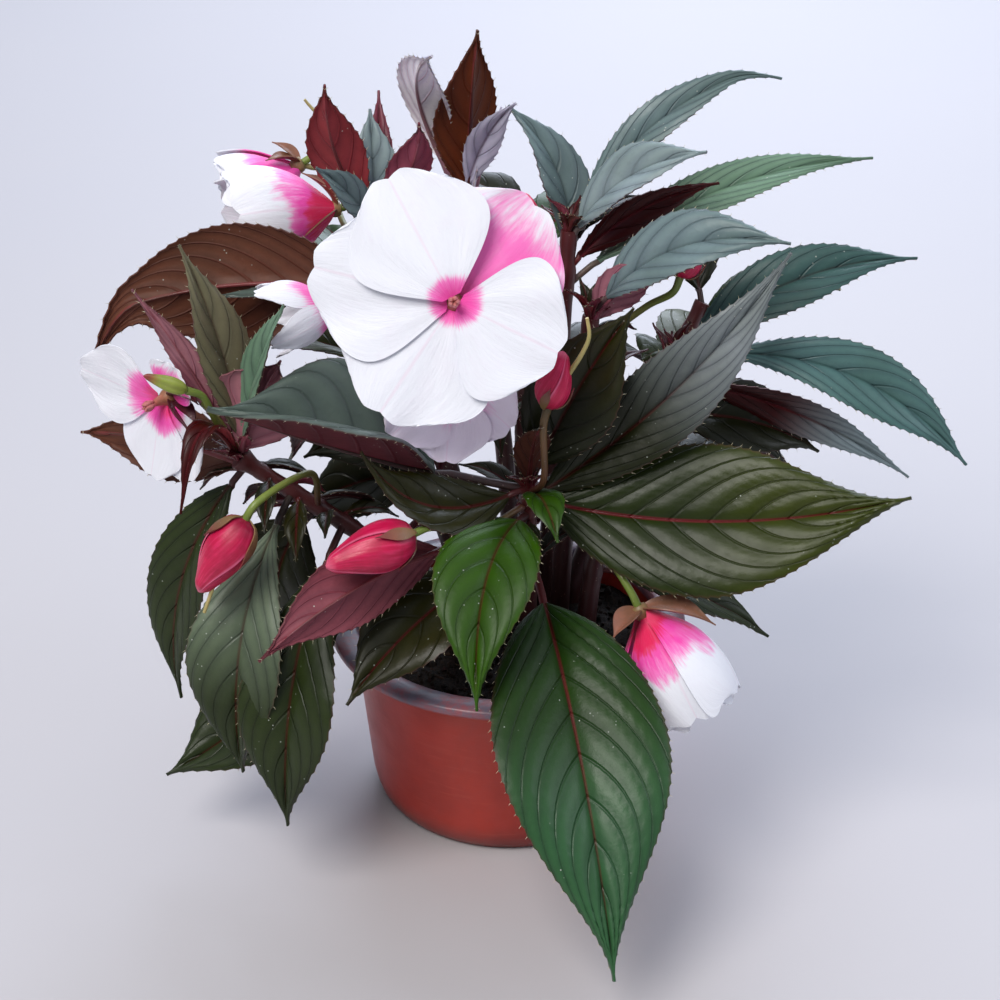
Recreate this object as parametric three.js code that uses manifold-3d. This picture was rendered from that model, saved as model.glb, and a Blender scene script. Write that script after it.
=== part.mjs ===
// A potted New Guinea impatiens: a low plastic nursery pot filled with peat, a clump of leafy shoots,
// open and half open blooms, pointed buds and a seed pod. Millimetres, +Z up, with the origin on the
// floor under the pot's centre. Seen from the front, which is along +Y, +X is to the right.
import * as THREE from "three";
import { mergeVertices } from "three/addons/utils/BufferGeometryUtils.js";
import Module from "manifold-3d";

const wasm = await Module();
wasm.setup();

// Driving dimensions
const pot = {
  height: 61,
  lipRadius: 56,
  lipThickness: 2,
  lipFillet: 2.5,
  lipRoll: 1,
  wallTop: 48.6,
  wallBottom: 43.8,
  footRadius: 40.3,
  cornerHeight: 10,
  wall: 1.4,
  floor: 2.4,
  drainRadius: 3,
  drainRing: 24,
  drains: 4,
  sides: 32,
};
const soil = { level: 54, relief: 1.6, gap: 0.55, sides: 20, rings: 3, seed: 7 };
const stem = { radius: 3.3, tipRadius: 2.2, depth: 14, clearance: 0.8, sides: 6, steps: 6 };
const blade = {
  thickness: 0.7,
  toothDepth: 1.6,
  toothShare: 0.06,
  toothPitch: 15.5,
  toothLean: 0.72,
  tipHalf: 0.5,
  fold: 16,
  arch: 0.1,
  stalk: 0.12,
  full: 0.82,
};
const leafStalk = { thick: 1.9, half: 1.1 };
const petal = {
  thickness: 0.65,
  layerGap: 1.05,
  claw: 0.14,
  clawStart: 1.5,
  widest: 0.6,
  rounding: 0.62,
  notch: 0.05,
  notchHalf: 0.35,
  corner: 0.2,
  bendReach: 36,
};
const throat = { depth: 3, radius: 9, back: 2.2, front: 3.4, core: 3, coreTaper: 0.55 };
const budShape = { blunt: 0.32, shoulder: 0.72, taper: 0.2, point: 0.5, steps: 5, sides: 7 };
const spurShape = { from: 0.12, start: 0.9, end: 0.55, steps: 5, sides: 4 };
const flowerStalk = { radius: 1.1, sides: 4, steps: 5, straight: 5, gap: 0.3 };
const spiral = {
  turn: 137.5,
  lowest: 0.45,
  spread: 0.75,
  drawn: 0.45,
  rise: 0.85,
  droop: 0.5,
  shorten: 0.35,
  narrow: 0.3,
  arch: 0.16,
  teeth: 3,
};
const sliver = 0.04; // faces narrower than this, left by a join, go to their neighbours

const palette = {
  pot: { color: 0xa8392a, roughness: 0.45, metalness: 0 },
  soil: { color: 0x17120f, roughness: 0.95, metalness: 0 },
  leaf: { color: 0x3c5634, roughness: 0.55, metalness: 0 },
  petal: { color: 0xf3eef4, roughness: 0.6, metalness: 0 },
  bud: { color: 0xc8204c, roughness: 0.5, metalness: 0 },
  pod: { color: 0x9aa845, roughness: 0.5, metalness: 0 },
};

const up = new THREE.Vector3(0, 0, 1);
const vec = (p) => new THREE.Vector3(p[0], p[1], p[2]);
const radians = THREE.MathUtils.degToRad;

// A seeded draw between 0 and 1, so that every run gives the same peat.
function seededDraw(seed) {
  let state = seed;
  return () => {
    state = (state * 16807) % 2147483647;
    return state / 2147483647;
  };
}

// Closed solids and their joins

function solidOf(geometry) {
  const bare = geometry.clone();
  bare.deleteAttribute("normal");
  bare.deleteAttribute("uv");
  const merged = mergeVertices(bare, 1e-4);
  return new wasm.Manifold(
    new wasm.Mesh({
      numProp: 3,
      vertProperties: merged.attributes.position.array,
      triVerts: new Uint32Array(merged.index.array),
    }),
  );
}

function geometryOf(solid) {
  const mesh = solid.getMesh();
  const geometry = new THREE.BufferGeometry();
  geometry.setAttribute("position", new THREE.BufferAttribute(mesh.vertProperties, 3));
  geometry.setIndex(new THREE.BufferAttribute(mesh.triVerts, 1));
  return geometry;
}

function fuse(geometries) {
  const solids = geometries.map(solidOf);
  return geometryOf(solids.reduce((whole, piece) => whole.add(piece)).simplify(sliver));
}

function meshGeometry(points, triangles) {
  const geometry = new THREE.BufferGeometry();
  const flat = new Float32Array(points.flatMap((p) => [p.x, p.y, p.z]));
  geometry.setAttribute("position", new THREE.BufferAttribute(flat, 3));
  geometry.setIndex(triangles);
  return geometry;
}

// A closed solid through rings of points, all with the same count, capped at both ends.
function skin(rings) {
  const count = rings[0].length;
  const points = rings.flat();
  const triangles = [];
  for (let i = 0; i + 1 < rings.length; i += 1) {
    for (let j = 0; j < count; j += 1) {
      const next = (j + 1) % count;
      const a = i * count + j;
      const b = i * count + next;
      triangles.push(a, b, b + count, a, b + count, a + count);
    }
  }
  const last = (rings.length - 1) * count;
  for (let j = 1; j + 1 < count; j += 1) {
    triangles.push(0, j + 1, j, last, last + j, last + j + 1);
  }
  return meshGeometry(points, triangles);
}

// A round rod along a three.js curve, its radius given for each share of the way.
function rod(curve, radiusAt, steps, sides) {
  const rings = [];
  let side = new THREE.Vector3(0.31, 0.87, 0.11);
  for (let i = 0; i <= steps; i += 1) {
    const share = i / steps;
    const centre = curve.getPointAt(share);
    const along = curve.getTangentAt(share);
    side = side.clone().addScaledVector(along, -side.dot(along)).normalize();
    const other = along.clone().cross(side);
    const ring = [];
    for (let j = 0; j < sides; j += 1) {
      const angle = (2 * Math.PI * j) / sides;
      const spot = centre.clone();
      spot.addScaledVector(side, radiusAt(share) * Math.cos(angle));
      spot.addScaledVector(other, radiusAt(share) * Math.sin(angle));
      ring.push(spot);
    }
    rings.push(ring);
  }
  return skin(rings);
}

// A thin closed sheet over a grid of points, split into triangles alike on both faces.
function sheet(rows, thicknessAt) {
  const down = rows.length;
  const across = rows[0].length;
  const faces = [[], []];
  rows.forEach((row, i) =>
    row.forEach((spot, j) => {
      const along = rows[Math.min(i + 1, down - 1)][j].clone().sub(rows[Math.max(i - 1, 0)][j]);
      const side = row[Math.min(j + 1, across - 1)].clone().sub(row[Math.max(j - 1, 0)]);
      const normal = side.cross(along).normalize();
      const half = thicknessAt(i) / 2;
      faces[0].push(spot.clone().addScaledVector(normal, half));
      faces[1].push(spot.clone().addScaledVector(normal, -half));
    }),
  );
  const under = down * across;
  const triangles = [];
  for (let i = 0; i + 1 < down; i += 1) {
    for (let j = 0; j + 1 < across; j += 1) {
      const a = i * across + j;
      const b = a + 1;
      const c = a + across;
      const d = c + 1;
      const half = (across - 1) / 2;
      const split = j < half ? [[a, b, d], [a, d, c]] : [[a, b, c], [b, d, c]];
      for (const [p, q, r] of split) {
        triangles.push(p, q, r, under + p, under + r, under + q);
      }
    }
  }
  const rim = [];
  for (let j = 0; j < across - 1; j += 1) {
    rim.push(j);
  }
  for (let i = 0; i < down - 1; i += 1) {
    rim.push(i * across + across - 1);
  }
  for (let j = across - 1; j > 0; j -= 1) {
    rim.push((down - 1) * across + j);
  }
  for (let i = down - 1; i > 0; i -= 1) {
    rim.push(i * across);
  }
  rim.forEach((a, k) => {
    const b = rim[(k + 1) % rim.length];
    triangles.push(a, under + a, under + b, a, under + b, b);
  });
  return meshGeometry(faces.flat(), triangles);
}

// Leaves

// Half of the blade's width, as a share of its widest, at a share of the way from stalk to tip. A
// fuller blade is widest nearer its tip.
function bladeShape(share, full) {
  return Math.pow(Math.sin(Math.PI * Math.pow(share, full)), 0.85 + 0.75 * share);
}

// One leaf: a stalk that widens into a folded, arched blade with forward leaning teeth.
function leaf(row) {
  const { base, tip, wide } = row;
  const { arch = blade.arch, roll = 0, twist = 0, sweep = 0 } = row;
  const { fold = blade.fold, full = blade.full } = row;
  const stalk = row.stalk ?? blade.stalk;
  const hook = vec(row.hook ?? [0, 0, 0]);
  const chord = tip.clone().sub(base);
  const length = chord.length();
  const heading = chord.clone().normalize();
  const lift = up.clone().addScaledVector(heading, -up.dot(heading)).normalize();
  const face = lift.clone().applyAxisAngle(heading, radians(roll));
  const flank = heading.clone().cross(face);
  const ribAt = (t) => {
    const bow = 4 * t * (1 - t) * length;
    const spot = base.clone().addScaledVector(chord, t);
    spot.addScaledVector(lift, arch * bow);
    spot.addScaledVector(flank, sweep * bow);
    return spot.addScaledVector(hook, Math.pow(Math.max(0, t - 0.8) / 0.2, 2));
  };
  const teeth = row.teeth ?? Math.max(3, Math.round((length * (1 - stalk)) / blade.toothPitch));
  const stations = [
    { t: 0, half: leafStalk.half, thick: leafStalk.thick, fold: 0 },
    { t: stalk * 0.9, half: leafStalk.half, thick: leafStalk.thick, fold: 0 },
  ];
  const tooth = Math.min(blade.toothDepth, wide * blade.toothShare) / 2;
  const addStation = (share, step) => {
    const half = Math.max(leafStalk.half, (bladeShape(share, full) * wide) / 2 + step);
    stations.push({ t: stalk + (1 - stalk) * share, half, thick: blade.thickness, fold });
  };
  for (let k = 0; k < teeth; k += 1) {
    if (k > 0) {
      addStation(k / teeth, -tooth);
    }
    addStation((k + blade.toothLean) / teeth, tooth);
  }
  stations.push({ t: 1, half: blade.tipHalf, thick: blade.thickness, fold: 0 });
  const rows = stations.map((station) => {
    const { t, half } = station;
    const tangent = ribAt(Math.min(1, t + 0.02)).sub(ribAt(Math.max(0, t - 0.02))).normalize();
    const local = face.clone().applyAxisAngle(heading, radians(twist * t));
    local.addScaledVector(tangent, -local.dot(tangent)).normalize();
    const out = tangent.clone().cross(local);
    const rise = Math.sin(radians(station.fold)) * half;
    const reach = Math.cos(radians(station.fold)) * half;
    const middle = ribAt(t);
    const raised = middle.clone().addScaledVector(local, rise);
    const edge = (hand) => raised.clone().addScaledVector(out, hand * reach);
    return [edge(-1), middle, edge(1)];
  });
  return sheet(rows, (i) => stations[i].thick);
}

// Blooms

// Half of a petal's width, as a share of its widest: a narrow claw, then a broad rounded blade.
function petalShape(share) {
  if (share > petal.widest) {
    return Math.sqrt(1 - Math.pow((share - petal.widest) / petal.rounding, 2));
  }
  const grow = Math.sin((Math.PI / 2) * (share / petal.widest));
  return petal.claw + (1 - petal.claw) * Math.pow(grow, 1.1);
}

// A bloom's petals lie in layers on one surface of revolution round its axis, from flat to a bell.
function bloom({ centre, facing, petals, cup = 0, grid = [3, 3] }) {
  const axis = vec(facing).normalize();
  const right = new THREE.Vector3(1, 0, 0).addScaledVector(axis, -axis.x).normalize();
  const top = axis.clone().cross(right);
  const heart = vec(centre);
  const bend = radians(cup);
  const place = (reach, turn, layer) => {
    const share = reach / petal.bendReach;
    const tilt = bend * Math.min(1, 0.35 + 0.65 * share);
    const radius = reach * Math.cos(tilt) - layer * Math.sin(tilt);
    const dip = throat.depth * Math.pow(Math.max(0, 1 - reach / throat.radius), 2);
    const height = reach * Math.sin(tilt) - dip + layer * Math.cos(tilt);
    const spot = heart.clone().addScaledVector(axis, height);
    spot.addScaledVector(right, radius * Math.cos(turn));
    return spot.addScaledVector(top, radius * Math.sin(turn));
  };
  const pieces = petals.map(({ turn, long, wide, layer }) => {
    const rows = [];
    for (let i = 0; i <= grid[0]; i += 1) {
      const share = i / grid[0];
      const row = [];
      for (let j = 0; j <= grid[1]; j += 1) {
        const hand = (2 * j) / grid[1] - 1;
        const notch = petal.notch * Math.max(0, 1 - Math.abs(hand) / petal.notchHalf);
        const reach = long * (1 - petal.corner * hand * hand - notch);
        const along = petal.clawStart + (reach - petal.clawStart) * share;
        const off = hand * 0.5 * wide * petalShape(share);
        const around = radians(turn) + Math.atan2(off, along);
        row.push(place(Math.hypot(along, off), around, layer * petal.layerGap));
      }
      rows.push(row);
    }
    return sheet(rows, () => petal.thickness);
  });
  const line = new THREE.LineCurve3(
    heart.clone().addScaledVector(axis, -throat.depth - throat.back),
    heart.clone().addScaledVector(axis, throat.front),
  );
  return fuse([rod(line, (share) => throat.core * (1 - throat.coreTaper * share), 2, 6), ...pieces]);
}

// Five like petals round a half open bloom, each second one further in than its neighbours.
function bell(turn, long, wide) {
  return [0, 1, 2, 3, 4].map((k) => ({ turn: turn + 72 * k, long, wide, layer: ((2 * k) % 5) - 2 }));
}

// A pointed bud, or a pod. Some carry a thin curved spur that hangs from the base.
function bud({ base, tip, fat, spur }) {
  const start = vec(base);
  const end = vec(tip);
  const radiusAt = (share) => {
    if (share > 0.98) return budShape.point;
    const swell = Math.sin(Math.PI * Math.pow(share, budShape.shoulder));
    return fat * (budShape.blunt + (1 - budShape.blunt) * swell) * (1 - budShape.taper * share);
  };
  const body = rod(new THREE.LineCurve3(start, end), radiusAt, budShape.steps, budShape.sides);
  if (!spur) return body;
  const way = new THREE.CatmullRomCurve3([start.clone().lerp(end, spurShape.from), ...spur.map(vec)]);
  const spurAt = (share) => spurShape.start + (spurShape.end - spurShape.start) * share;
  return fuse([body, rod(way, spurAt, spurShape.steps, spurShape.sides)]);
}

// Shoots: each root stands in a hole in the peat. Leaf rows give the share of the stem where the
// stalk starts, the tip's place and the width; the rest bends, rolls and folds the blade. Stalk rows
// are flower stalks, from a share of the stem through points to the flower or bud that they carry.
const shoots = {
  front: {
    root: [6, -14],
    path: [[6, -18, 88]],
    apex: [6, -24, 120],
    leaves: [
      { at: 0.62, tip: [29, -125, 19], wide: 52, arch: 0.1, stalk: 0.16 },
      { at: 0.93, tip: [114, -45, 127], wide: 46, arch: -0.07, roll: 50, fold: 8, stalk: 0.06 },
      { at: 0.84, tip: [-9, -85, 81], wide: 31, arch: 0.2, stalk: 0.1, sweep: 0.05 },
      { at: 0.95, tip: [14, -50, 115], wide: 12, arch: 0.2 },
      { at: 1, tip: [-41, -50, 144], wide: 20, arch: -0.2, roll: -40, stalk: 0.1 },
      { at: 0.98, tip: [-84, -42, 154], wide: 54, arch: -0.02, roll: -10, fold: 47, stalk: 0.3 },
      { at: 0.72, tip: [-70, -75, 91], wide: 23, arch: 0.1, roll: 115, stalk: 0.34 },
      { at: 0.6, tip: [-47, -62, 68], wide: 30, arch: 0.1, roll: -20, stalk: 0.25 },
      { at: 1, tip: [35, -24, 176], wide: 29, arch: -0.02, roll: 70, sweep: -0.05 },
      { at: 0.92, tip: [79, -20, 191], wide: 25, arch: -0.06, roll: 62, twist: 20, stalk: 0.06 },
      { at: 1, tip: [9, -40, 147], wide: 11, arch: 0.1, stalk: 0.06 },
    ],
    stalks: [
      { at: 0.96, via: [[10, -36, 128]], bud: "bud_centre" },
      { at: 0.9, via: [[-10, -38, 112]], bud: "bud_middle" },
      { at: 0.86, via: [[22, -30, 108]], bloom: "right" },
    ],
  },
  left: {
    root: [-16, -8],
    path: [[-34, -10, 86]],
    apex: [-80, -14, 124],
    leaves: [
      { at: 0.98, tip: [-94, -8, 189], wide: 18, arch: 0.05, roll: -30 },
      { at: 1, tip: [-65, -24, 160], wide: 29, arch: -0.05, roll: -65, sweep: 0.08 },
      { at: 1, tip: [-62, -38, 183], wide: 15, arch: 0.05, roll: 75 },
      { at: 1, tip: [-106, -22, 181], wide: 10, arch: 0.03, roll: 65 },
      { at: 0.92, tip: [-132, 15, 118], wide: 24, arch: 0.05, roll: 120 },
      { at: 0.97, tip: [-102, -20, 43], wide: 23, arch: 0.12, roll: -40, stalk: 0.1 },
      { at: 0.8, tip: [-80, -50, 36], wide: 32, arch: 0.2, stalk: 0.12, full: 1.15 },
      { at: 0.6, tip: [-66, -62, 25], wide: 31, arch: 0.2, stalk: 0.14, full: 1.15 },
      { at: 0.5, tip: [-106, -34, 24], wide: 34, arch: -0.12, roll: -30, stalk: 0.2, full: 1.3 },
      { at: 1, tip: [-94, -42, 120], wide: 9, arch: 0.6, stalk: 0.05 },
      { at: 0.7, tip: [-70, -10, 60], wide: 32, arch: 0.14, roll: -75, stalk: 0.15 },
    ],
    stalks: [
      { at: 0.7, via: [[-58, -28, 126]], bud: "bud_left" },
      { at: 0.98, via: [[-86, -18, 140]], bloom: "left" },
      { at: 1, via: [[-85, -22, 140]], bud: "pod" },
    ],
  },
  topLeft: {
    root: [-12, 6],
    path: [[-20, 8, 120]],
    apex: [-39, 8, 190],
    leaves: [
      { at: 1, tip: [-51, -5, 235], wide: 17, arch: 0.05, roll: 45, sweep: 0.12 },
      { at: 1, tip: [-40, 17, 221], wide: 14, arch: 0.05 },
      { at: 0.96, tip: [-38, 28, 223], wide: 9, arch: 0.05 },
      { at: 0.98, tip: [-54, -8, 212], wide: 11, arch: 0.05, roll: -75 },
      { at: 1, tip: [-25, -8, 225], wide: 13, arch: 0.05, roll: -30, sweep: -0.12 },
      { at: 0.82, tip: [-127, 2, 160], wide: 36, arch: 0.09, roll: 100, fold: 8, hook: [1, 0, -18] },
      { at: 0.8, tip: [-86, -2, 171], wide: 11, arch: 0.02, stalk: 0.3 },
      { at: 0.5, tip: [-62, -2, 118], wide: 28, arch: 0.1, roll: -45 },
      { at: 0.38, tip: [-66, 14, 90], wide: 28, arch: 0.1, roll: -40 },
      { at: 0.6, tip: [-34, -30, 128], wide: 22, arch: 0.05 },
    ],
    stalks: [
      { at: 0.9, via: [[-40, 18, 172]], bloom: "backLeft" },
      { at: 0.86, via: [[-50, 40, 176]], bloom: "backLeftUpper" },
      { at: 0.7, via: [[-38, -4, 156]], bloom: "behind" },
    ],
  },
  top: {
    root: [2, 12],
    path: [[-2, 16, 120]],
    apex: [-13, 22, 193],
    leaves: [
      { at: 1, tip: [-21, -8, 244], wide: 18, arch: 0.1, roll: -20, sweep: 0.2 },
      { at: 0.97, tip: [-9, 14, 245], wide: 22, arch: 0.03, roll: 10 },
      { at: 1, tip: [2, 0, 228], wide: 10, arch: 0.08, roll: 130 },
      { at: 0.94, tip: [-2, 22, 220], wide: 10, arch: 0.05 },
    ],
    stalks: [
      { at: 0.8, via: [[-10, -4, 176], [-13, -22, 178]], bloom: "main" },
      { at: 0.84, via: [[4, 2, 188]], bud: "bud_top" },
      { at: 0.6, via: [[-4, -8, 150]], bloom: "under" },
    ],
  },
  topRight: {
    root: [12, 14],
    path: [[15, 16, 120]],
    apex: [18, 17, 184],
    leaves: [
      { at: 0.9, tip: [0, 33, 217], wide: 20, arch: 0.1, sweep: 0.1 },
      { at: 1, tip: [78, 30, 231], wide: 13, arch: 0.12, roll: 40, hook: [2, 0, -5] },
      { at: 0.97, tip: [56, 0, 214], wide: 21, arch: 0.12, roll: 35 },
      { at: 0.9, tip: [62, 18, 198], wide: 12, arch: 0.1, roll: 100 },
      { at: 0.86, tip: [110, 38, 199], wide: 15, arch: 0.1, roll: 40 },
    ],
    stalks: [],
  },
  right: {
    root: [16, 0],
    path: [[18, -2, 100]],
    apex: [24, -6, 166],
    leaves: [
      { at: 1, tip: [78, -25, 196], wide: 22, arch: 0.16, roll: 40 },
      { at: 0.97, tip: [45, -12, 184], wide: 14, arch: 0.1, roll: -80 },
      { at: 0.6, tip: [40, 26, 128], wide: 30, arch: 0.1, roll: 45 },
    ],
    stalks: [{ at: 0.9, via: [[40, -8, 170]], bud: "bud_rightUpper" }],
  },
  rightLow: {
    root: [24, -10],
    path: [[28, -8, 92]],
    apex: [49, 0, 150],
    leaves: [
      { at: 0.98, tip: [121, 12, 177], wide: 20, arch: 0.12, roll: 40 },
      { at: 1, tip: [136, -15, 122], wide: 20, arch: 0.16, roll: 50, full: 1.15 },
      { at: 0.94, tip: [124, 8, 106], wide: 12, arch: 0.06, roll: 120, twist: -60 },
      { at: 0.8, tip: [95, 4, 117], wide: 25, arch: 0.1, roll: 40 },
      { at: 0.28, tip: [82, -6, 57], wide: 20, arch: 0.07, roll: 15 },
      { at: 0.62, tip: [84, 24, 100], wide: 28, arch: 0.1 },
    ],
    stalks: [],
  },
  backLeft: {
    root: [-14, 20],
    path: [[-28, 36, 96]],
    apex: [-50, 52, 152],
    whorl: { count: 7, turn: 130, reach: 66, wide: 28, lean: 125 },
    leaves: [],
    stalks: [],
  },
  back: {
    root: [2, 28],
    path: [[5, 44, 100]],
    apex: [8, 76, 160],
    whorl: { count: 7, turn: 80, reach: 64, wide: 28, lean: 85 },
    leaves: [],
    stalks: [],
  },
  backRight: {
    root: [21, 22],
    path: [[36, 38, 92]],
    apex: [62, 52, 146],
    whorl: { count: 7, turn: 30, reach: 64, wide: 28, lean: 40 },
    leaves: [],
    stalks: [],
  },
};

// Blooms: where each sits, which way it looks and how far it has opened. Petal rows give the turn
// round the axis, counter clockwise from the right, the length, the width and the layer.
const blooms = {
  main: {
    centre: [-15, -43, 186],
    facing: [0.02, -0.92, 0.39],
    grid: [4, 5],
    petals: [
      { turn: 118, long: 39.5, wide: 41, layer: 2 },
      { turn: 334, long: 33, wide: 42, layer: 1 },
      { turn: 166, long: 41, wide: 43, layer: 0 },
      { turn: 236, long: 38, wide: 46, layer: -1 },
      { turn: 50, long: 36, wide: 43, layer: -2 },
    ],
  },
  under: {
    centre: [-16, -32, 157],
    facing: [0, -0.92, -0.1],
    cup: 30,
    petals: [
      { turn: 215, long: 24, wide: 26, layer: 1 },
      { turn: 265, long: 24, wide: 26, layer: 0 },
      { turn: 325, long: 22, wide: 26, layer: -1 },
    ],
  },
  backLeftUpper: {
    centre: [-70, 72, 183],
    facing: [-0.85, -0.2, -0.4],
    cup: 66,
    petals: bell(20, 24, 40),
  },
  backLeft: {
    centre: [-56, 33, 184],
    facing: [-0.95, -0.2, -0.08],
    cup: 66,
    petals: bell(50, 33, 56),
  },
  behind: {
    centre: [-51, -15, 175],
    facing: [-0.95, -0.04, -0.25],
    cup: 76,
    petals: bell(70, 23, 14),
  },
  left: {
    centre: [-102, -15, 143],
    facing: [-0.6, -0.75, 0],
    cup: 8,
    petals: [
      { turn: 172, long: 30, wide: 26, layer: 1 },
      { turn: 262, long: 26, wide: 26, layer: 0 },
      { turn: 300, long: 26, wide: 24, layer: -1 },
      { turn: 60, long: 14, wide: 18, layer: -2 },
    ],
  },
  right: {
    centre: [40, -45, 86],
    facing: [0.45, -0.32, -0.84],
    cup: 68,
    petals: bell(14, 34, 58),
  },
};

// Buds, and one ripe pod: the end on the stalk, the point, the half width and any spur's way.
const buds = {
  bud_left: {
    base: [-75, -45, 120],
    tip: [-89, -50, 99],
    fat: 7.5,
    spur: [
      [-82, -50, 108],
      [-88, -50, 92],
    ],
  },
  bud_middle: { base: [-27, -50, 118], tip: [-51, -62, 114], fat: 8 },
  bud_centre: { base: [11, -38, 152], tip: [15, -38, 169], fat: 5.5 },
  bud_rightUpper: { base: [49, -12, 181], tip: [53, -12, 192], fat: 5 },
  bud_top: { base: [5, -14, 198], tip: [4, -12, 206], fat: 4 },
  pod: { base: [-92, -27, 152], tip: [-103, -32, 159], fat: 2.4, color: "pod" },
};

const group = new THREE.Group();
const materials = {};
for (const [name, settings] of Object.entries(palette)) {
  materials[name] = new THREE.MeshStandardMaterial(settings);
}

function addNode(name, geometry, material) {
  const mesh = new THREE.Mesh(geometry, materials[material]);
  mesh.name = name;
  group.add(mesh);
}

// The stem's curve, straight where it stands in the peat.
function stemCurve({ root, path, apex }) {
  const [x, y] = root;
  const upright = [0, 0.7, 1.3].map((share) => [x, y, soil.level + (share - 1) * stem.depth]);
  const points = [...upright, ...path, apex];
  return new THREE.CatmullRomCurve3(points.map(vec));
}

// The place and the direction where a flower stalk meets what it carries.
function stalkEnd(row) {
  if (row.bud) {
    const start = vec(buds[row.bud].base);
    const back = start.clone().sub(vec(buds[row.bud].tip)).normalize();
    return { end: start.addScaledVector(back, flowerStalk.gap), back };
  }
  const back = vec(blooms[row.bloom].facing).normalize().negate();
  const behind = throat.depth + throat.back + flowerStalk.gap;
  return { end: vec(blooms[row.bloom].centre).addScaledVector(back, behind), back };
}

function stalkGeometry(start, row) {
  const { end, back } = stalkEnd(row);
  const approach = end.clone().addScaledVector(back, flowerStalk.straight);
  const way = new THREE.CatmullRomCurve3([start, ...row.via.map(vec), approach, end]);
  return rod(way, () => flowerStalk.radius, flowerStalk.steps, flowerStalk.sides);
}

// Leaves set by rule round a shoot: each a golden turn past the last, rising at the crown and
// drooping lower down, and all drawn towards the side on which the shoot leans out.
function whorlRows({ whorl }, spotAt) {
  if (!whorl) return [];
  return Array.from({ length: whorl.count }, (_, k) => {
    const share = k / (whorl.count - 1);
    const at = spiral.lowest + (1 - spiral.lowest) * share;
    const turn = radians(whorl.turn + spiral.turn * k);
    const lean = radians(whorl.lean);
    const reach = whorl.reach * (1 - spiral.shorten * share);
    const tip = spotAt(at);
    tip.x += reach * (spiral.spread * Math.cos(turn) + spiral.drawn * Math.cos(lean));
    tip.y += reach * (spiral.spread * Math.sin(turn) + spiral.drawn * Math.sin(lean));
    tip.z += reach * (spiral.rise * share - spiral.droop);
    const wide = whorl.wide * (1 - spiral.narrow * share);
    return { at, tip: tip.toArray(), wide, arch: spiral.arch, teeth: spiral.teeth };
  });
}

function shootGeometry(shoot) {
  const curve = stemCurve(shoot);
  const below = (stem.depth + 2) / curve.getLength();
  const spotAt = (at) => curve.getPointAt(below + (0.995 - below) * at);
  const radiusAt = (s) => stem.radius + (stem.tipRadius - stem.radius) * s;
  const pieces = [rod(curve, radiusAt, stem.steps, stem.sides)];
  for (const row of [...shoot.leaves, ...whorlRows(shoot, spotAt)]) {
    pieces.push(leaf({ ...row, base: spotAt(row.at), tip: vec(row.tip) }));
  }
  for (const row of shoot.stalks) {
    pieces.push(stalkGeometry(spotAt(row.at), row));
  }
  return fuse(pieces);
}

// The pot, turned from one profile, with drain holes off the middle of its floor.
function potGeometry() {
  const lipUnder = pot.height - pot.lipThickness;
  const inner = pot.wallTop - pot.wall;
  const innerFoot = pot.wallBottom - pot.wall;
  const profile = [
    [0, 0],
    [pot.footRadius, 0],
    [(pot.footRadius + pot.wallBottom) / 2, pot.cornerHeight * 0.35],
    [pot.wallBottom, pot.cornerHeight],
    [pot.wallTop, lipUnder - pot.lipFillet],
    [pot.lipRadius - pot.lipRoll, lipUnder - 1.5 * pot.lipRoll],
    [pot.lipRadius, lipUnder],
    [pot.lipRadius - pot.lipRoll / 2, pot.height],
    [inner + pot.lipRoll, pot.height],
    [inner, lipUnder],
    [innerFoot, pot.cornerHeight + 1],
    [pot.footRadius - pot.wall, pot.floor],
    [0, pot.floor],
  ];
  const turned = new THREE.LatheGeometry(
    profile.map(([x, y]) => new THREE.Vector2(x, y)),
    pot.sides,
  );
  turned.rotateX(Math.PI / 2);
  let solid = solidOf(turned);
  for (let k = 0; k < pot.drains; k += 1) {
    const drain = new THREE.CylinderGeometry(pot.drainRadius, pot.drainRadius, 4 * pot.floor, 8);
    drain.rotateX(Math.PI / 2);
    const angle = (2 * Math.PI * (k + 0.5)) / pot.drains;
    drain.translate(pot.drainRing * Math.cos(angle), pot.drainRing * Math.sin(angle), 0);
    solid = solid.subtract(solidOf(drain));
  }
  return geometryOf(solid);
}

// The peat fills the pot to below the lip, with an uneven top and a plain hole for each stem.
function soilGeometry() {
  const draw = seededDraw(soil.seed);
  const wallHeight = pot.height - pot.lipThickness - pot.lipFillet - pot.cornerHeight;
  const slope = (pot.wallTop - pot.wallBottom) / wallHeight;
  const innerFoot = pot.wallBottom - pot.wall - soil.gap;
  const wallAt = (z) => innerFoot + slope * (z - pot.cornerHeight - 1);
  const outline = [
    [pot.footRadius - pot.wall - soil.gap, pot.floor + soil.gap],
    [innerFoot - soil.gap / 2, pot.cornerHeight + 1.5],
    [wallAt(soil.level - 1), soil.level - 1],
  ];
  const rings = outline.map(([radius, z]) => ringOf(radius, () => z));
  for (let i = 1; i <= soil.rings; i += 1) {
    const radius = wallAt(soil.level) * (1 - i / (soil.rings + 0.5));
    rings.push(ringOf(radius, () => soil.level + (draw() - 0.5) * 2 * soil.relief));
  }
  let solid = solidOf(skin(rings));
  const radius = stem.radius + stem.clearance;
  const bottom = soil.level - stem.depth - soil.gap;
  const long = stem.depth + 10; // reaches out above the peat
  for (const { root } of Object.values(shoots)) {
    const hole = new THREE.CylinderGeometry(radius, radius, long, stem.sides);
    hole.rotateX(Math.PI / 2);
    hole.translate(root[0], root[1], bottom + long / 2);
    solid = solid.subtract(solidOf(hole));
  }
  return geometryOf(solid);
}

function ringOf(radius, heightAt) {
  return Array.from({ length: soil.sides }, (_, j) => {
    const angle = (2 * Math.PI * j) / soil.sides;
    return new THREE.Vector3(radius * Math.cos(angle), radius * Math.sin(angle), heightAt());
  });
}

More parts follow.
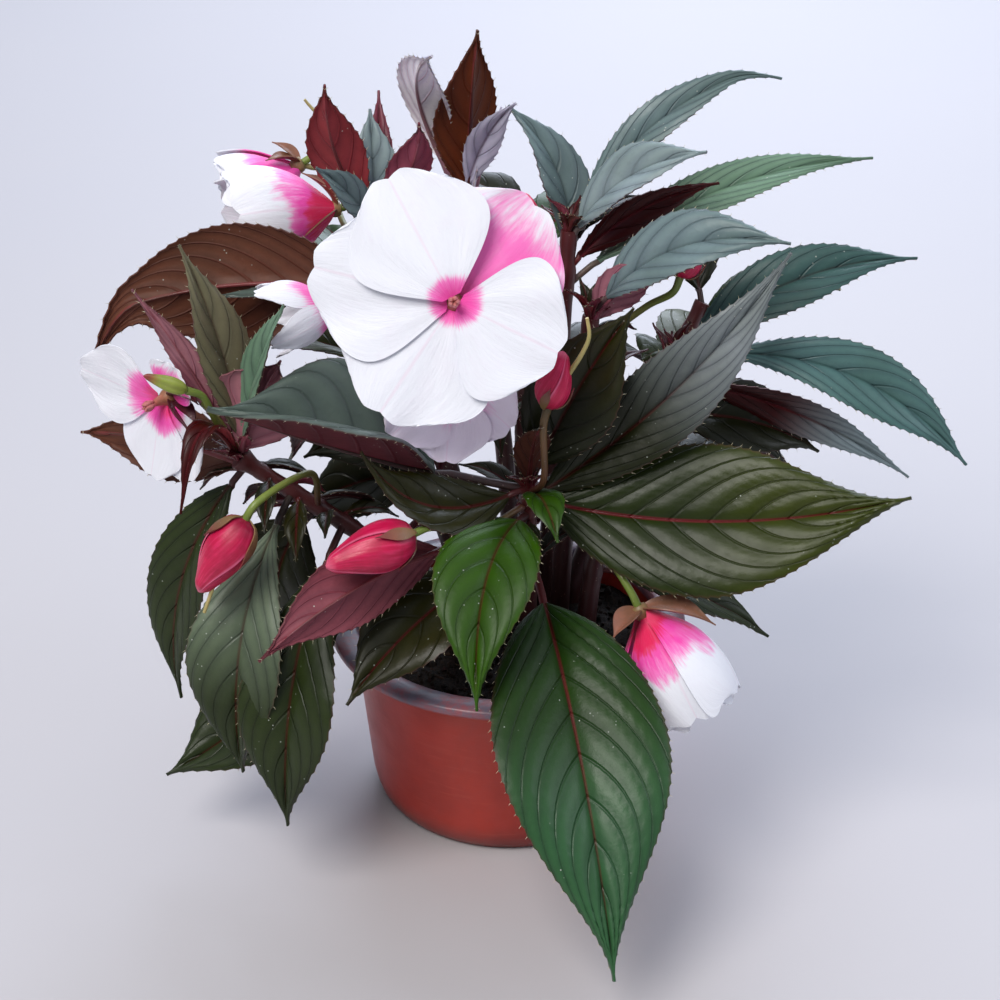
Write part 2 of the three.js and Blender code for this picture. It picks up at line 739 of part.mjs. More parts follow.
addNode("pot", potGeometry(), "pot");
addNode("soil", soilGeometry(), "soil");
for (const [name, shoot] of Object.entries(shoots)) {
  addNode("shoot_" + name, shootGeometry(shoot), "leaf");
}
for (const [name, row] of Object.entries(blooms)) {
  addNode("bloom_" + name, bloom(row), "petal");
}
for (const [name, row] of Object.entries(buds)) {
  addNode(name, bud(row), row.color ?? "bud");
}

export default group;
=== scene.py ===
import math

import bmesh
import bpy
import numpy as np
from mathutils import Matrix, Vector


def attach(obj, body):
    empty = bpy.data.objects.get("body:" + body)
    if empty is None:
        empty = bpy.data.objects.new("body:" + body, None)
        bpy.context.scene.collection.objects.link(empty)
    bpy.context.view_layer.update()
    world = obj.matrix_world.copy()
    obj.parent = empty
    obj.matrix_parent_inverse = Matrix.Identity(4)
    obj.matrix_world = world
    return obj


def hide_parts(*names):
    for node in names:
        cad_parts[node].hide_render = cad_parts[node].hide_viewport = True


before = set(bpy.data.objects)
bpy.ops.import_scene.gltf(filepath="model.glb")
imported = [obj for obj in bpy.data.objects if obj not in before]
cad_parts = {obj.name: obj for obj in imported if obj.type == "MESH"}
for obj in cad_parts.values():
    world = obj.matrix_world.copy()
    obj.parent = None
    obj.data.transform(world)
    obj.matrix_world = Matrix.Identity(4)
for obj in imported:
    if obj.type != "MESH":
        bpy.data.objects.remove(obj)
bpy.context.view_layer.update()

mm = 0.001
up = np.array([0.0, 0.0, 1.0])
dice = np.random.default_rng(11)
print("frame loaded:", len(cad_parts), "nodes")


# small vector tools, all lengths in millimetres until a piece is made

def arr(p):
    return np.array(p, float)


def unit(v):
    v = np.asarray(v, float)
    return v / np.maximum(np.linalg.norm(v, axis=-1, keepdims=True), 1e-9)


def turned(v, axis, angle):
    # turns v round axis by an angle in radians
    c, s = math.cos(angle), math.sin(angle)
    return v * c + np.cross(axis, v) * s + axis * ((v @ axis)[..., None] * (1 - c))


def linear(rgb):
    # 0 to 255 as seen on screen, to the linear colour that a shader wants
    c = np.asarray(rgb, float) / 255
    return np.where(c < 0.04045, c / 12.92, ((c + 0.055) / 1.055) ** 2.4)


def between(low, high, share):
    # from one screen colour to another
    return linear(low) + (linear(high) - linear(low)) * share


def smooth(low, high, x):
    t = np.clip((x - low) / (high - low), 0, 1)
    return t * t * (3 - 2 * t)


def smoothPath(points, count=500):
    # a centripetal curve through the points, as evenly spaced samples
    p = arr(points)
    p = np.vstack([2 * p[0] - p[1], p, 2 * p[-1] - p[-2]])
    out = []
    for k in range(1, len(p) - 2):
        a, b, c, d = p[k - 1:k + 3]
        ab, bc, cd = [max(np.linalg.norm(q) ** 0.5, 1e-4) for q in (b - a, c - b, d - c)]
        t1 = ((b - a) / ab - (c - a) / (ab + bc) + (c - b) / bc) * bc
        t2 = ((c - b) / bc - (d - b) / (bc + cd) + (d - c) / cd) * bc
        w = np.linspace(0, 1, 60)[:, None]
        out.append(b + t1 * w + (3 * (c - b) - 2 * t1 - t2) * w ** 2 + (2 * (b - c) + t1 + t2) * w ** 3)
    dense = np.vstack(out)
    step = np.r_[0, np.cumsum(np.linalg.norm(np.diff(dense, axis=0), axis=1))]
    even = np.linspace(0, step[-1], count)
    return np.stack([np.interp(even, step, dense[:, k]) for k in range(3)], 1)


def pathLength(path):
    return np.linalg.norm(np.diff(path, axis=0), axis=1).sum()


def spotOn(path, share):
    x = np.asarray(share, float) * (len(path) - 1)
    return np.stack([np.interp(x, np.arange(len(path)), path[:, k]) for k in range(3)], -1)


# a heap collects the faces of one piece, with what its materials read from each point

def newHeap():
    heap = {key: [] for key in ("points", "corners", "sizes", "slots", "tone", "place", "vein")}
    heap["count"] = 0
    return heap


def addFaces(heap, faces, slot, base):
    faces = np.atleast_2d(faces)
    heap["corners"].append((faces + base).ravel())
    heap["sizes"].append(np.full(len(faces), faces.shape[1]))
    heap["slots"].append(np.full(len(faces), slot))


def pour(heap, points, faces, slot, tone, place=0.0, vein=0.0):
    points = np.asarray(points, float).reshape(-1, 3)
    n = len(points)
    tone = np.atleast_2d(tone)
    if tone.shape[1] == 3:
        tone = np.c_[tone, np.ones(len(tone))]
    addFaces(heap, faces, slot, heap["count"])
    heap["points"].append(points)
    heap["tone"].append(np.broadcast_to(tone, (n, 4)))
    heap["place"].append(np.broadcast_to(place, (n, 3)))
    heap["vein"].append(np.broadcast_to(np.asarray(vein, float), (n,)))
    heap["count"] += n


def makePiece(name, heap, materials, slot, *nodes):
    mesh = bpy.data.meshes.new(name)
    points = np.concatenate(heap["points"]) * mm
    corners = np.concatenate(heap["corners"]).astype(np.int32)
    sizes = np.concatenate(heap["sizes"])
    mesh.vertices.add(len(points))
    mesh.vertices.foreach_set("co", points.astype(np.float32).ravel())
    mesh.loops.add(len(corners))
    mesh.loops.foreach_set("vertex_index", corners)
    mesh.polygons.add(len(sizes))
    mesh.polygons.foreach_set("loop_start", np.r_[0, np.cumsum(sizes)[:-1]].astype(np.int32))
    mesh.polygons.foreach_set("material_index", np.concatenate(heap["slots"]).astype(np.int32))
    mesh.polygons.foreach_set("use_smooth", np.ones(len(sizes), bool))
    tone = mesh.attributes.new("tone", "FLOAT_COLOR", "POINT")
    tone.data.foreach_set("color", np.concatenate(heap["tone"]).astype(np.float32).ravel())
    place = mesh.attributes.new("place", "FLOAT_VECTOR", "POINT")
    place.data.foreach_set("vector", np.concatenate(heap["place"]).astype(np.float32).ravel())
    vein = mesh.attributes.new("vein", "FLOAT", "POINT")
    vein.data.foreach_set("value", np.concatenate(heap["vein"]).astype(np.float32))
    mesh.update(calc_edges=True)
    mesh.validate()
    mesh.set_sharp_from_angle(angle=math.radians(55))
    for material in materials:
        mesh.materials.append(material)
    piece = bpy.data.objects.new(name, mesh)
    bpy.context.scene.collection.objects.link(piece)
    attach(piece, "root")
    if nodes:
        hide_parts(*nodes)
    return piece


def gridFaces(rows, cols, start=0, around=False, flip=False):
    i, j = np.meshgrid(np.arange(rows - 1), np.arange(cols if around else cols - 1), indexing="ij")
    a = i * cols + j
    b = i * cols + (j + 1) % cols
    quads = np.stack([a, b, b + cols, a + cols], -1).reshape(-1, 4) + start
    return quads[:, ::-1] if flip else quads


def gridNormals(grid):
    side = np.gradient(grid, axis=1)
    along = np.gradient(grid, axis=0)
    return unit(np.cross(side, along))


def pourSheet(heap, grid, thick, slots, tones, place, vein):
    # a thin closed sheet, its upper face towards +(side x along)
    rows, cols = grid.shape[:2]
    n = rows * cols
    half = gridNormals(grid) * (thick / 2)
    both = np.concatenate([grid + half, grid - half])
    tone = [np.broadcast_to(t, (rows, cols, np.shape(t)[-1])).reshape(n, -1) for t in tones]
    place = np.broadcast_to(place, (rows, cols, 3)).reshape(-1, 3)
    vein = np.broadcast_to(vein, (rows, cols)).reshape(-1)
    rim = np.r_[np.arange(cols), np.arange(2, rows) * cols - 1, n - 1 - np.arange(cols),
                np.arange(rows - 2, 0, -1) * cols]
    after = np.roll(rim, -1)
    base = heap["count"]
    top = gridFaces(rows, cols)
    pour(heap, both, top, slots[0], np.concatenate(tone), np.tile(place, (2, 1)), np.tile(vein, 2))
    addFaces(heap, gridFaces(rows, cols, n, flip=True), slots[1], base)
    addFaces(heap, np.stack([rim, rim + n, after + n, after], -1), slots[1], base)


def pourRound(heap, grid, slot, tone, place=0.0, vein=0.0):
    # rings of points, closed by a flat cap at each end; tone is one colour or one for each ring
    rows, sides = grid.shape[:2]
    base = heap["count"]
    if np.ndim(tone) == 2:
        tone = np.repeat(tone, sides, axis=0)
    pour(heap, grid, gridFaces(rows, sides, around=True), slot, tone, place, vein)
    addFaces(heap, np.arange(sides)[::-1], slot, base)
    addFaces(heap, np.arange(sides) + (rows - 1) * sides, slot, base)


def pourTube(heap, path, radii, sides, slot, tone, vein=0.0):
    # a round closed rod along sampled points
    path = arr(path)
    rows = len(path)
    radii = np.broadcast_to(radii, (rows,))
    tangents = unit(np.gradient(path, axis=0))
    side = arr([0.31, 0.87, 0.11])
    turns = np.linspace(0, 2 * np.pi, sides, endpoint=False)
    rings = []
    for k in range(rows):
        side = unit(side - tangents[k] * np.dot(side, tangents[k]))
        other = np.cross(tangents[k], side)
        spoke = np.cos(turns)[:, None] * side + np.sin(turns)[:, None] * other
        rings.append(path[k] + radii[k] * spoke)
    place = np.zeros((rows * sides, 3))
    place[:, 0] = np.tile(turns, rows)
    place[:, 1] = np.repeat(np.linspace(0, 1, rows), sides)
    pourRound(heap, np.stack(rings), slot, tone, place, vein)


# shader tools

def newMaterial(name):
    material = bpy.data.materials.new(name)
    material.use_nodes = True
    tree = material.node_tree
    return material, tree, tree.nodes["Principled BSDF"]


def node(tree, kind, sockets=None, **settings):
    made = tree.nodes.new("ShaderNode" + kind)
    for key, value in settings.items():
        setattr(made, key, value)
    for key, value in (sockets or {}).items():
        if isinstance(value, bpy.types.NodeSocket):
            tree.links.new(value, made.inputs[key])
        else:
            made.inputs[key].default_value = value
    return made


def calc(tree, what, a, b=0.5, c=0.5):
    return node(tree, "Math", {0: a, 1: b, 2: c}, operation=what).outputs[0]


def times(tree, a, b):
    return calc(tree, "MULTIPLY", a, b)


def fade(tree, value, low, high, toLow=0.0, toHigh=1.0):
    sockets = {"Value": value, "From Min": low, "From Max": high, "To Min": toLow, "To Max": toHigh}
    return node(tree, "MapRange", sockets, interpolation_type="SMOOTHSTEP").outputs[0]


def colourMix(tree, share, a, b, how="MIX"):
    return node(tree, "Mix", {0: share, 6: a, 7: b}, data_type="RGBA", blend_type=how).outputs[2]


def tinted(tree, share, colour, factor):
    return colourMix(tree, share, colour, (*factor, 1), "MULTIPLY")


def rgba(rgb):
    return (*[float(x) for x in linear(rgb)], 1.0)


def noise(tree, where, scale, detail=3.0, rough=0.5, twist=0.0):
    sockets = {"Vector": where, "Scale": scale, "Detail": detail, "Roughness": rough, "Distortion": twist}
    return node(tree, "TexNoise", sockets).outputs[0]


def specks(tree, where, scale, low, high):
    # small round dots, 1 at their centres
    dots = node(tree, "TexVoronoi", {"Vector": where, "Scale": scale}, feature="F1").outputs[0]
    return fade(tree, dots, low, high, 1.0, 0.0)


def spread(tree, x, timesX, y, timesY):
    return node(tree, "CombineXYZ", {0: times(tree, x, timesX), 1: times(tree, y, timesY)}).outputs[0]


def scaled(tree, where, scale):
    return node(tree, "Mapping", {"Vector": where, "Scale": scale}).outputs[0]


def readPoint(tree):
    # what each point carries: its tone, its place on the blade or petal, and the vein count
    tone = node(tree, "Attribute", attribute_name="tone").outputs["Color"]
    place = node(tree, "Attribute", attribute_name="place").outputs["Vector"]
    vein = node(tree, "Attribute", attribute_name="vein").outputs["Fac"]
    where = node(tree, "TexCoord").outputs["Object"]
    return tone, node(tree, "SeparateXYZ", {0: place}).outputs, vein, where


def bumpChain(tree, shader, steps):
    # stacks bumps: (height, strength, distance in metres)
    last = None
    for height, strength, distance in steps:
        sockets = {"Height": height, "Strength": strength, "Distance": distance}
        if last is not None:
            sockets["Normal"] = last
        last = node(tree, "Bump", sockets).outputs[0]
    tree.links.new(last, shader.inputs["Normal"])


def setShader(tree, shader, **sockets):
    for key, value in sockets.items():
        socket = shader.inputs[key.replace("_", " ")]
        if isinstance(value, bpy.types.NodeSocket):
            tree.links.new(value, socket)
        else:
            socket.default_value = value


leafLook = {
    "value": 0.92,
    "margin": (84, 50, 44),
    "speck": (190, 196, 186),
    "sheen": (206, 214, 226),
    "upper": {
        # upper groove tint is painted shade in the sunken side veins
        "colourful": 1.3, "groove": (0.45, 0.48, 0.45), "net": 0.12, "netTint": (0.55, 0.55, 0.55),
        "rib": (104, 26, 34), "rough": (0.34, 0.48), "shine": 0.3, "sheen": 0.02, "relief": -1.0,
    },
    "under": {
        # under groove tint is the veins' own redder colour
        "colourful": 1.08, "groove": (1.2, 0.62, 0.7), "net": 0.16, "netTint": (0.5, 0.42, 0.45),
        "rib": (128, 50, 58), "rough": (0.46, 0.62), "shine": 0.24, "sheen": 0.06, "relief": 1.0,
    },
}


def leafMaterial(name, face):
    # alpha of the tone says how red the rib is
    look = leafLook[face]
    material, tree, shader = newMaterial(name)
    tone, place, vein, where = readPoint(tree)
    red = node(tree, "Attribute", attribute_name="tone").outputs["Alpha"]
    across, along, edge = place
    gap = calc(tree, "PINGPONG", vein, 0.5)  # 0 on a side vein, 0.5 midway
    groove = fade(tree, gap, 0.0, 0.085, 1.0, 0.0)
    domeSheen = fade(tree, gap, 0.06, 0.46)
    half = calc(tree, "ABSOLUTE", across)
    ribMask = times(tree, fade(tree, half, 0.3, 0.8, 1.0, 0.0), fade(tree, along, 0.8, 0.97, 1.0, 0.0))
    sockets = {"Color": tone, "Saturation": look["colourful"], "Value": leafLook["value"]}
    tone = node(tree, "HueSaturation", sockets).outputs[0]
    cloud = noise(tree, where, 38.0, 3.0, 0.6, 0.4)
    patch = noise(tree, where, 14.0, 2.0)
    fine = noise(tree, where, 520.0, 2.0, 0.6)
    net = fade(tree, fine, 0.52, 0.66)
    colour = tinted(tree, fade(tree, cloud, 0.3, 0.72, 0.0, 0.6), tone, (0.62, 0.66, 0.6))
    colour = tinted(tree, fade(tree, patch, 0.4, 0.68, 0.0, 0.5), colour, (1.35, 1.3, 1.4))
    # painted sheen: the quilted domes between the side veins are lightened
    colour = tinted(tree, times(tree, domeSheen, 0.6), colour, (1.4, 1.4, 1.3))
    # on the upper face this is painted shade in the side vein grooves; underneath it is the veins' own
    # redder tint
    colour = tinted(tree, times(tree, groove, 0.34), colour, look["groove"])
    colour = tinted(tree, times(tree, net, look["net"]), colour, look["netTint"])
    if face == "upper":
        colour = tinted(tree, times(tree, ribMask, 0.4), colour, (0.55, 0.55, 0.55))
    ribShare = times(tree, ribMask, red if face == "upper" else 0.6)
    colour = colourMix(tree, ribShare, colour, rgba(look["rib"]))
    margin = fade(tree, edge, 0.955, 1.0, 0.0, 0.35)
    colour = colourMix(tree, margin, colour, rgba(leafLook["margin"]))
    sparse = fade(tree, noise(tree, where, 60.0, 2.0), 0.52, 0.62)
    speck = times(tree, specks(tree, where, 420.0, 0.06, 0.12), sparse)
    colour = colourMix(tree, times(tree, speck, 0.7), colour, rgba(leafLook["speck"]))
    roughness = fade(tree, cloud, 0.3, 0.7, *look["rough"])
    setShader(tree, shader, Base_Color=colour, Roughness=roughness, Specular_IOR_Level=look["shine"],
              Sheen_Weight=look["sheen"], Sheen_Roughness=0.4, Sheen_Tint=rgba(leafLook["sheen"]))
    bumpChain(tree, shader, [(times(tree, groove, look["relief"]), 0.6, 0.0004), (fine, 0.35, 0.00025)])
    return material


def skinMaterial(name):
    # stems, stalks, ribs, sepals and bristles
    material, tree, shader = newMaterial(name)
    tone, place, vein, where = readPoint(tree)
    streak = noise(tree, scaled(tree, where, (1, 1, 0.18)), 520.0, 4.0, 0.6)
    cloud = noise(tree, where, 75.0, 3.0, 0.55)
    colour = tinted(tree, fade(tree, cloud, 0.35, 0.68, 0.0, 0.7), tone, (0.58, 0.66, 0.5))
    colour = tinted(tree, fade(tree, streak, 0.45, 0.7, 0.0, 0.35), colour, (1.5, 1.25, 1.1))
    speck = specks(tree, where, 520.0, 0.07, 0.13)
    colour = colourMix(tree, times(tree, speck, 0.25), colour, rgba((196, 170, 160)))
    setShader(tree, shader, Base_Color=colour, Roughness=fade(tree, streak, 0.3, 0.7, 0.34, 0.52),
              Specular_IOR_Level=0.5)
    bumpChain(tree, shader, [(streak, 0.35, 0.0004)])
    return material


petalLook = {
    "rose": (247, 122, 196),
    "magenta": (244, 72, 172),
    "crimson": (232, 20, 84),
    "midline": (236, 150, 190),
    "blush": (226, 206, 226),
    "veins": (214, 190, 214),
}


def petalMaterial(name):
    # place holds how far across, how far out in mm, and how deep the flush may go; vein is where it fades
    material, tree, shader = newMaterial(name)
    tone, place, vein, where = readPoint(tree)
    across, reach, deepest = place
    streak = noise(tree, spread(tree, across, 9.0, reach, 0.07), 1.6, 4.0, 0.65)
    cloud = noise(tree, where, 110.0, 3.0, 0.6)
    drift = noise(tree, where, 70.0, 2.0)
    wander = times(tree, calc(tree, "SUBTRACT", streak, 0.5), 0.6)
    wander = calc(tree, "ADD", wander, calc(tree, "SUBTRACT", drift, 0.5))
    ragged = calc(tree, "MULTIPLY_ADD", wander, vein, reach)
    flush = fade(tree, ragged, times(tree, vein, 1.25), times(tree, vein, 0.3))
    flush = times(tree, flush, deepest)
    line = fade(tree, calc(tree, "ABSOLUTE", across), 0.0, 0.04, 0.14, 0.0)
    stain = tone
    for share, tint in (
        (fade(tree, flush, 0.12, 0.5), "rose"),
        (fade(tree, flush, 0.42, 0.78), "magenta"),
        (fade(tree, flush, 0.84, 1.02), "crimson"),
        (line, "midline"),
        (fade(tree, cloud, 0.45, 0.75, 0.0, 0.1), "blush"),
        (fade(tree, streak, 0.5, 0.75, 0.0, 0.07), "veins"),
    ):
        stain = colourMix(tree, share, stain, rgba(petalLook[tint]))
    setShader(tree, shader, Base_Color=stain, Roughness=fade(tree, cloud, 0.3, 0.7, 0.5, 0.64),
              Specular_IOR_Level=0.35, Sheen_Weight=0.2, Sheen_Roughness=0.4)
    bumpChain(tree, shader, [(streak, 0.5, 0.0005), (cloud, 0.3, 0.0006)])
    return material


budTones = {
    "lit": (236, 60, 116),
    "shade": (156, 8, 52),
    "edge": (244, 130, 170),
    "tip": (236, 120, 150),
    "foot": (122, 24, 48),
}


def budMaterial(name):
    # vein runs over each folded petal from 0 at its free edge, and place y goes from base to point
    material, tree, shader = newMaterial(name)
    tone, place, vein, where = readPoint(tree)
    rise = place[1]
    streak = noise(tree, spread(tree, vein, 7.0, rise, 0.9), 2.2, 4.0, 0.6)
    cloud = noise(tree, where, 160.0, 3.0, 0.6)
    colour = tone
    for share, tint in (
        (fade(tree, streak, 0.42, 0.7, 0.0, 0.5), "lit"),
        (fade(tree, cloud, 0.4, 0.7, 0.0, 0.5), "shade"),
        (fade(tree, vein, 0.0, 0.06, 0.55, 0.0), "edge"),
        (fade(tree, rise, 0.9, 1.0, 0.0, 0.6), "tip"),
        (fade(tree, rise, 0.2, 0.0, 0.0, 0.75), "foot"),
    ):
        colour = colourMix(tree, share, colour, rgba(budTones[tint]))
    setShader(tree, shader, Base_Color=colour, Roughness=fade(tree, cloud, 0.3, 0.7, 0.34, 0.5),
              Specular_IOR_Level=0.5)
    bumpChain(tree, shader, [(streak, 0.4, 0.0005)])
    return material


skin = skinMaterial("stemSkin")
petalSkin = petalMaterial("petalSkin")
budSkin = budMaterial("budSkin")
shootMaterials = [leafMaterial("leafTop", "upper"), leafMaterial("leafUnder", "under"), skin]
print("materials made")


# leaves: upper side, underside, stalk and rib as seen on screen, then how red the rib is
leafTones = {
    "green": ((36, 56, 26), (84, 44, 40), (104, 30, 34), 0.7),
    # bloom is painted sheen, a lighter blue-green for the sky's sheen, not a waxy coat
    "bloom": ((60, 88, 64), (84, 44, 40), (90, 40, 40), 0.35),
    "fresh": ((52, 76, 34), (84, 56, 40), (60, 26, 26), 0.35),
    # slate is painted sheen: a grey-green lift for the sky's sheen on the upper face
    "slate": ((82, 92, 88), (92, 46, 52), (70, 50, 50), 0.15),
    "olive": ((34, 34, 8), (92, 54, 46), (84, 26, 28), 0.5),
    "moss": ((32, 42, 10), (66, 36, 34), (108, 26, 32), 0.9),
    # hedge is painted sheen, a lighter moss green for the sheen on the blade
    "hedge": ((56, 62, 30), (66, 36, 34), (96, 30, 32), 0.7),
    "deep": ((42, 50, 30), (64, 36, 34), (70, 32, 30), 0.3),
    # dark is painted shade: a near-black green for leaves deep in the crown's shaded centre
    "dark": ((26, 29, 13), (50, 26, 24), (52, 22, 20), 0.3),
    # ash, silver, bright and sage are painted sheen: pale grey-blue tones for the sky's reflection on these
    # leaves
    "ash": ((104, 114, 100), (70, 44, 44), (60, 50, 46), 0.2),
    "silver": ((104, 118, 120), (96, 50, 60), (84, 60, 62), 0.0),
    "bright": ((134, 146, 150), (100, 60, 70), (110, 96, 96), 0.0),
    "sage": ((112, 134, 118), (96, 60, 60), (100, 84, 76), 0.0),
    "teal": ((62, 82, 80), (90, 50, 54), (74, 50, 50), 0.1),
    "ocean": ((88, 112, 112), (84, 44, 44), (60, 56, 56), 0.0),
    # smoke is painted sheen, a pale silvery grey for the sky's reflection
    "smoke": ((116, 122, 124), (96, 50, 60), (84, 70, 74), 0.0),
    "pale": ((196, 194, 212), (248, 244, 255), (150, 106, 120), 0.2),
    "brown": ((84, 46, 28), (92, 44, 24), (64, 18, 16), 0.5),
    "umber": ((86, 50, 40), (88, 54, 42), (120, 50, 52), 0.8),
    "maroon": ((56, 16, 16), (138, 62, 66), (96, 26, 30), 0.6),
    "wine": ((64, 22, 26), (158, 88, 104), (104, 36, 48), 0.5),
    "purple": ((92, 46, 56), (122, 68, 78), (118, 40, 50), 0.5),
    "rosy": ((120, 76, 86), (168, 116, 128), (130, 66, 80), 0.3),
    "heath": ((108, 104, 88), (120, 66, 80), (110, 70, 70), 0.1),
}
leafShape = {
    "thick": 0.5,
    "toothPitch": 3.0,
    "toothDepth": 0.5,
    "toothLean": 0.72,
    "column": 1.6,  # from one point to the next across the blade
    "coarser": 0.5,  # added to both steps on all but the large front leaves
    "foldAngle": 16.0,
    "arch": 0.1,
    "stalk": 0.12,
    "full": 0.82,
    "veinGap": 11.0,
    "veinSlant": 0.22,
    "veinBend": 0.2,
    "quilt": 0.1,
    "quiltByWidth": 0.012,
    "ripple": 0.012,
    "ribDip": 0.5,
    "edgeDroop": 0.03,
    "stalkRadius": 1.25,
    "ribEnd": 0.95,
    "bristle": 1.1,
    "bristleGirth": 0.14,
    "bristleTone": (206, 196, 170),
}


def bladeShape(s, full=leafShape["full"]):
    return np.sin(np.pi * np.clip(s, 0, 1) ** full) ** (0.85 + 0.75 * s)


def leafAxis(row):
    # the rib's place at shares of the way, and the blade's own directions
    base, tip = arr(row["base"]), arr(row["tip"])
    chord = tip - base
    length = np.linalg.norm(chord)
    heading = chord / length
    lift = unit(up - heading * np.dot(up, heading))
    face = turned(lift, heading, math.radians(row.get("roll", 0)))
    flank = np.cross(heading, face)
    hook = arr(row.get("hook", (0, 0, 0)))

    def ribAt(t):
        t = np.asarray(t, float)[..., None]
        bow = 4 * t * (1 - t) * length
        out = base + chord * t + lift * row.get("arch", leafShape["arch"]) * bow
        return out + flank * row.get("sweep", 0) * bow + hook * (np.maximum(0, t - 0.8) / 0.2) ** 2

    def framesAt(t):
        along = unit(ribAt(np.minimum(1, t + 0.02)) - ribAt(np.maximum(0, t - 0.02)))
        angle = np.radians(row.get("twist", 0) * t)[..., None]
        local = face * np.cos(angle) + flank * np.sin(angle)
        local = unit(local - along * (local * along).sum(-1, keepdims=True))
        return along, local, np.cross(along, local)

    return length, ribAt, framesAt


def pourBristles(heap, feet, out, along, local):
    # a three sided spine on each tooth
    n = len(feet)
    reach = leafShape["bristle"] * dice.uniform(0.6, 1.25, n)[:, None]
    away = unit(out * 0.8 + along * 0.7 + local * dice.uniform(-0.2, 0.5, n)[:, None])
    side = unit(np.cross(away, local))
    third = np.cross(away, side)
    girth = leafShape["bristleGirth"]
    root = feet - away * 0.3
    a = root + side * girth
    b = root - side * girth * 0.5 + third * girth * 0.87
    c = root - side * girth * 0.5 - third * girth * 0.87
    k = np.arange(n)[:, None] * 4
    faces = np.concatenate([k + f for f in ([0, 1, 3], [1, 2, 3], [2, 0, 3], [0, 2, 1])])
    pour(heap, np.stack([a, b, c, feet + away * reach], 1), faces, 2, linear(leafShape["bristleTone"]))


def pourLeaf(heap, row):
    length, ribAt, framesAt = leafAxis(row)
    wide = row["wide"]
    stalk = row.get("stalk", leafShape["stalk"])
    fold = math.radians(row.get("fold", leafShape["foldAngle"]))
    start, end = leafTones[row["look"]], leafTones[row.get("tipLook", row["look"])]
    blade = length * (1 - stalk)
    coarser = 0.0 if row.get("hero") else leafShape["coarser"]
    teeth = max(5, int(round(blade / (leafShape["toothPitch"] + coarser))))
    s = (np.arange(teeth)[:, None] + np.array([0, 0.4, leafShape["toothLean"]])).ravel() / teeth
    s = np.r_[s, 1.0]
    peak = np.r_[np.tile([0, 0.45, 1.0], teeth), 0.0]
    t = stalk + (1 - stalk) * s
    full = row.get("full", leafShape["full"])
    half = np.maximum(bladeShape(s, full) * wide / 2, np.where(s < 0.5, 0.9, 0.15))
    depth = min(leafShape["toothDepth"], wide * 0.03) * smooth(0.0, 0.12, s) * (1 - smooth(0.93, 1.0, s))
    tooth = (peak - 0.4) * depth
    columns = int(np.clip(round(wide / 2 / (leafShape["column"] + coarser)), 4, 13))
    u = np.linspace(-1, 1, 2 * columns + 1)[None, :]
    au = np.abs(u)
    x = (half[:, None] + np.where(au > 0.999, tooth[:, None], 0)) * u * math.cos(fold)
    count = int(np.clip(round(blade / leafShape["veinGap"]), 4, 9))
    slant = leafShape["veinSlant"] * au + leafShape["veinBend"] * au ** 2.4
    phase = count * (s[:, None] - slant) + 40
    bulge = np.abs(np.sin(np.pi * phase)) ** 0.7 * (1 - au ** 6) * smooth(0.02, 0.12, au)
    envelope = (smooth(0.0, 0.1, s) * (1 - smooth(0.9, 1.0, s)))[:, None]
    seed = row["seed"]
    wave = np.sin(2 * np.pi * (1.6 * s[:, None] + seed)) * np.sign(u)
    wave = wave + np.sin(2 * np.pi * (2.3 * s[:, None] + 2 * seed))
    z = math.sin(fold) * half[:, None] * (au + 0.12 * np.sin(np.pi * au))
    z = z + envelope * bulge * (leafShape["quilt"] + leafShape["quiltByWidth"] * wide)
    z = z + envelope * wave * au ** 2 * leafShape["ripple"] * wide
    z = z - leafShape["ribDip"] * np.exp(-x ** 2) * envelope - leafShape["edgeDroop"] * wide * au ** 8
    along, local, out = framesAt(t)
    grid = ribAt(t)[:, None, :] + out[:, None, :] * x[..., None] + local[:, None, :] * z[..., None]
    nearRib = half[:, None] * u / (1.15 - 0.6 * s[:, None])
    place = np.stack(np.broadcast_arrays(nearRib, s[:, None], au), -1)
    # the tone turns from the look at the base to the tipLook at the tip; on some leaves one end is painted
    # shade and the other painted sheen
    turn = smooth(0.3, 0.75, s)[:, None, None] + 0 * x[..., None]
    shade = dice.uniform(0.9, 1.1)
    tones = []
    for side in (0, 1):
        colour = (linear(start[side]) * (1 - turn) + linear(end[side]) * turn) * shade
        tones.append(np.concatenate([colour, start[3] * (1 - turn) + end[3] * turn], -1))
    pourSheet(heap, grid, leafShape["thick"], (0, 1), tones, place, phase)
    # the stalk runs on under the blade as its rib
    ts = np.r_[np.linspace(0, stalk, 7)[:-1], np.linspace(stalk, leafShape["ribEnd"], 26)]
    grow = 0.65 + 0.35 * min(1.0, wide / 40)
    thin = 1.1 - ((np.maximum(ts, stalk) - stalk) / (1 - stalk)) ** 0.8
    radius = np.where(ts <= stalk, leafShape["stalkRadius"], thin) * grow
    sink = np.where(ts <= stalk * 0.85, 0.0, radius * 0.8 + 0.35)
    ribUp = framesAt(ts)[1]
    shade = between(start[2], end[1], smooth(0.5, 0.9, ts)[:, None])
    pourTube(heap, ribAt(ts) - ribUp * sink[:, None], radius, 8, 2, shade)
    tips = np.where((peak > 0.9) & (s > 0.06))[0]
    for column, hand in ((0, -1.0), (-1, 1.0)):
        pourBristles(heap, grid[tips, column], out[tips] * hand, along[tips], local[tips])


def leaf(at, tip, wide, look, **more):
    # from a share of the stem to its tip; more bends, rolls and folds it
    return {"at": at, "tip": tip, "wide": wide, "look": look, **more}


soilLevel = 54.0

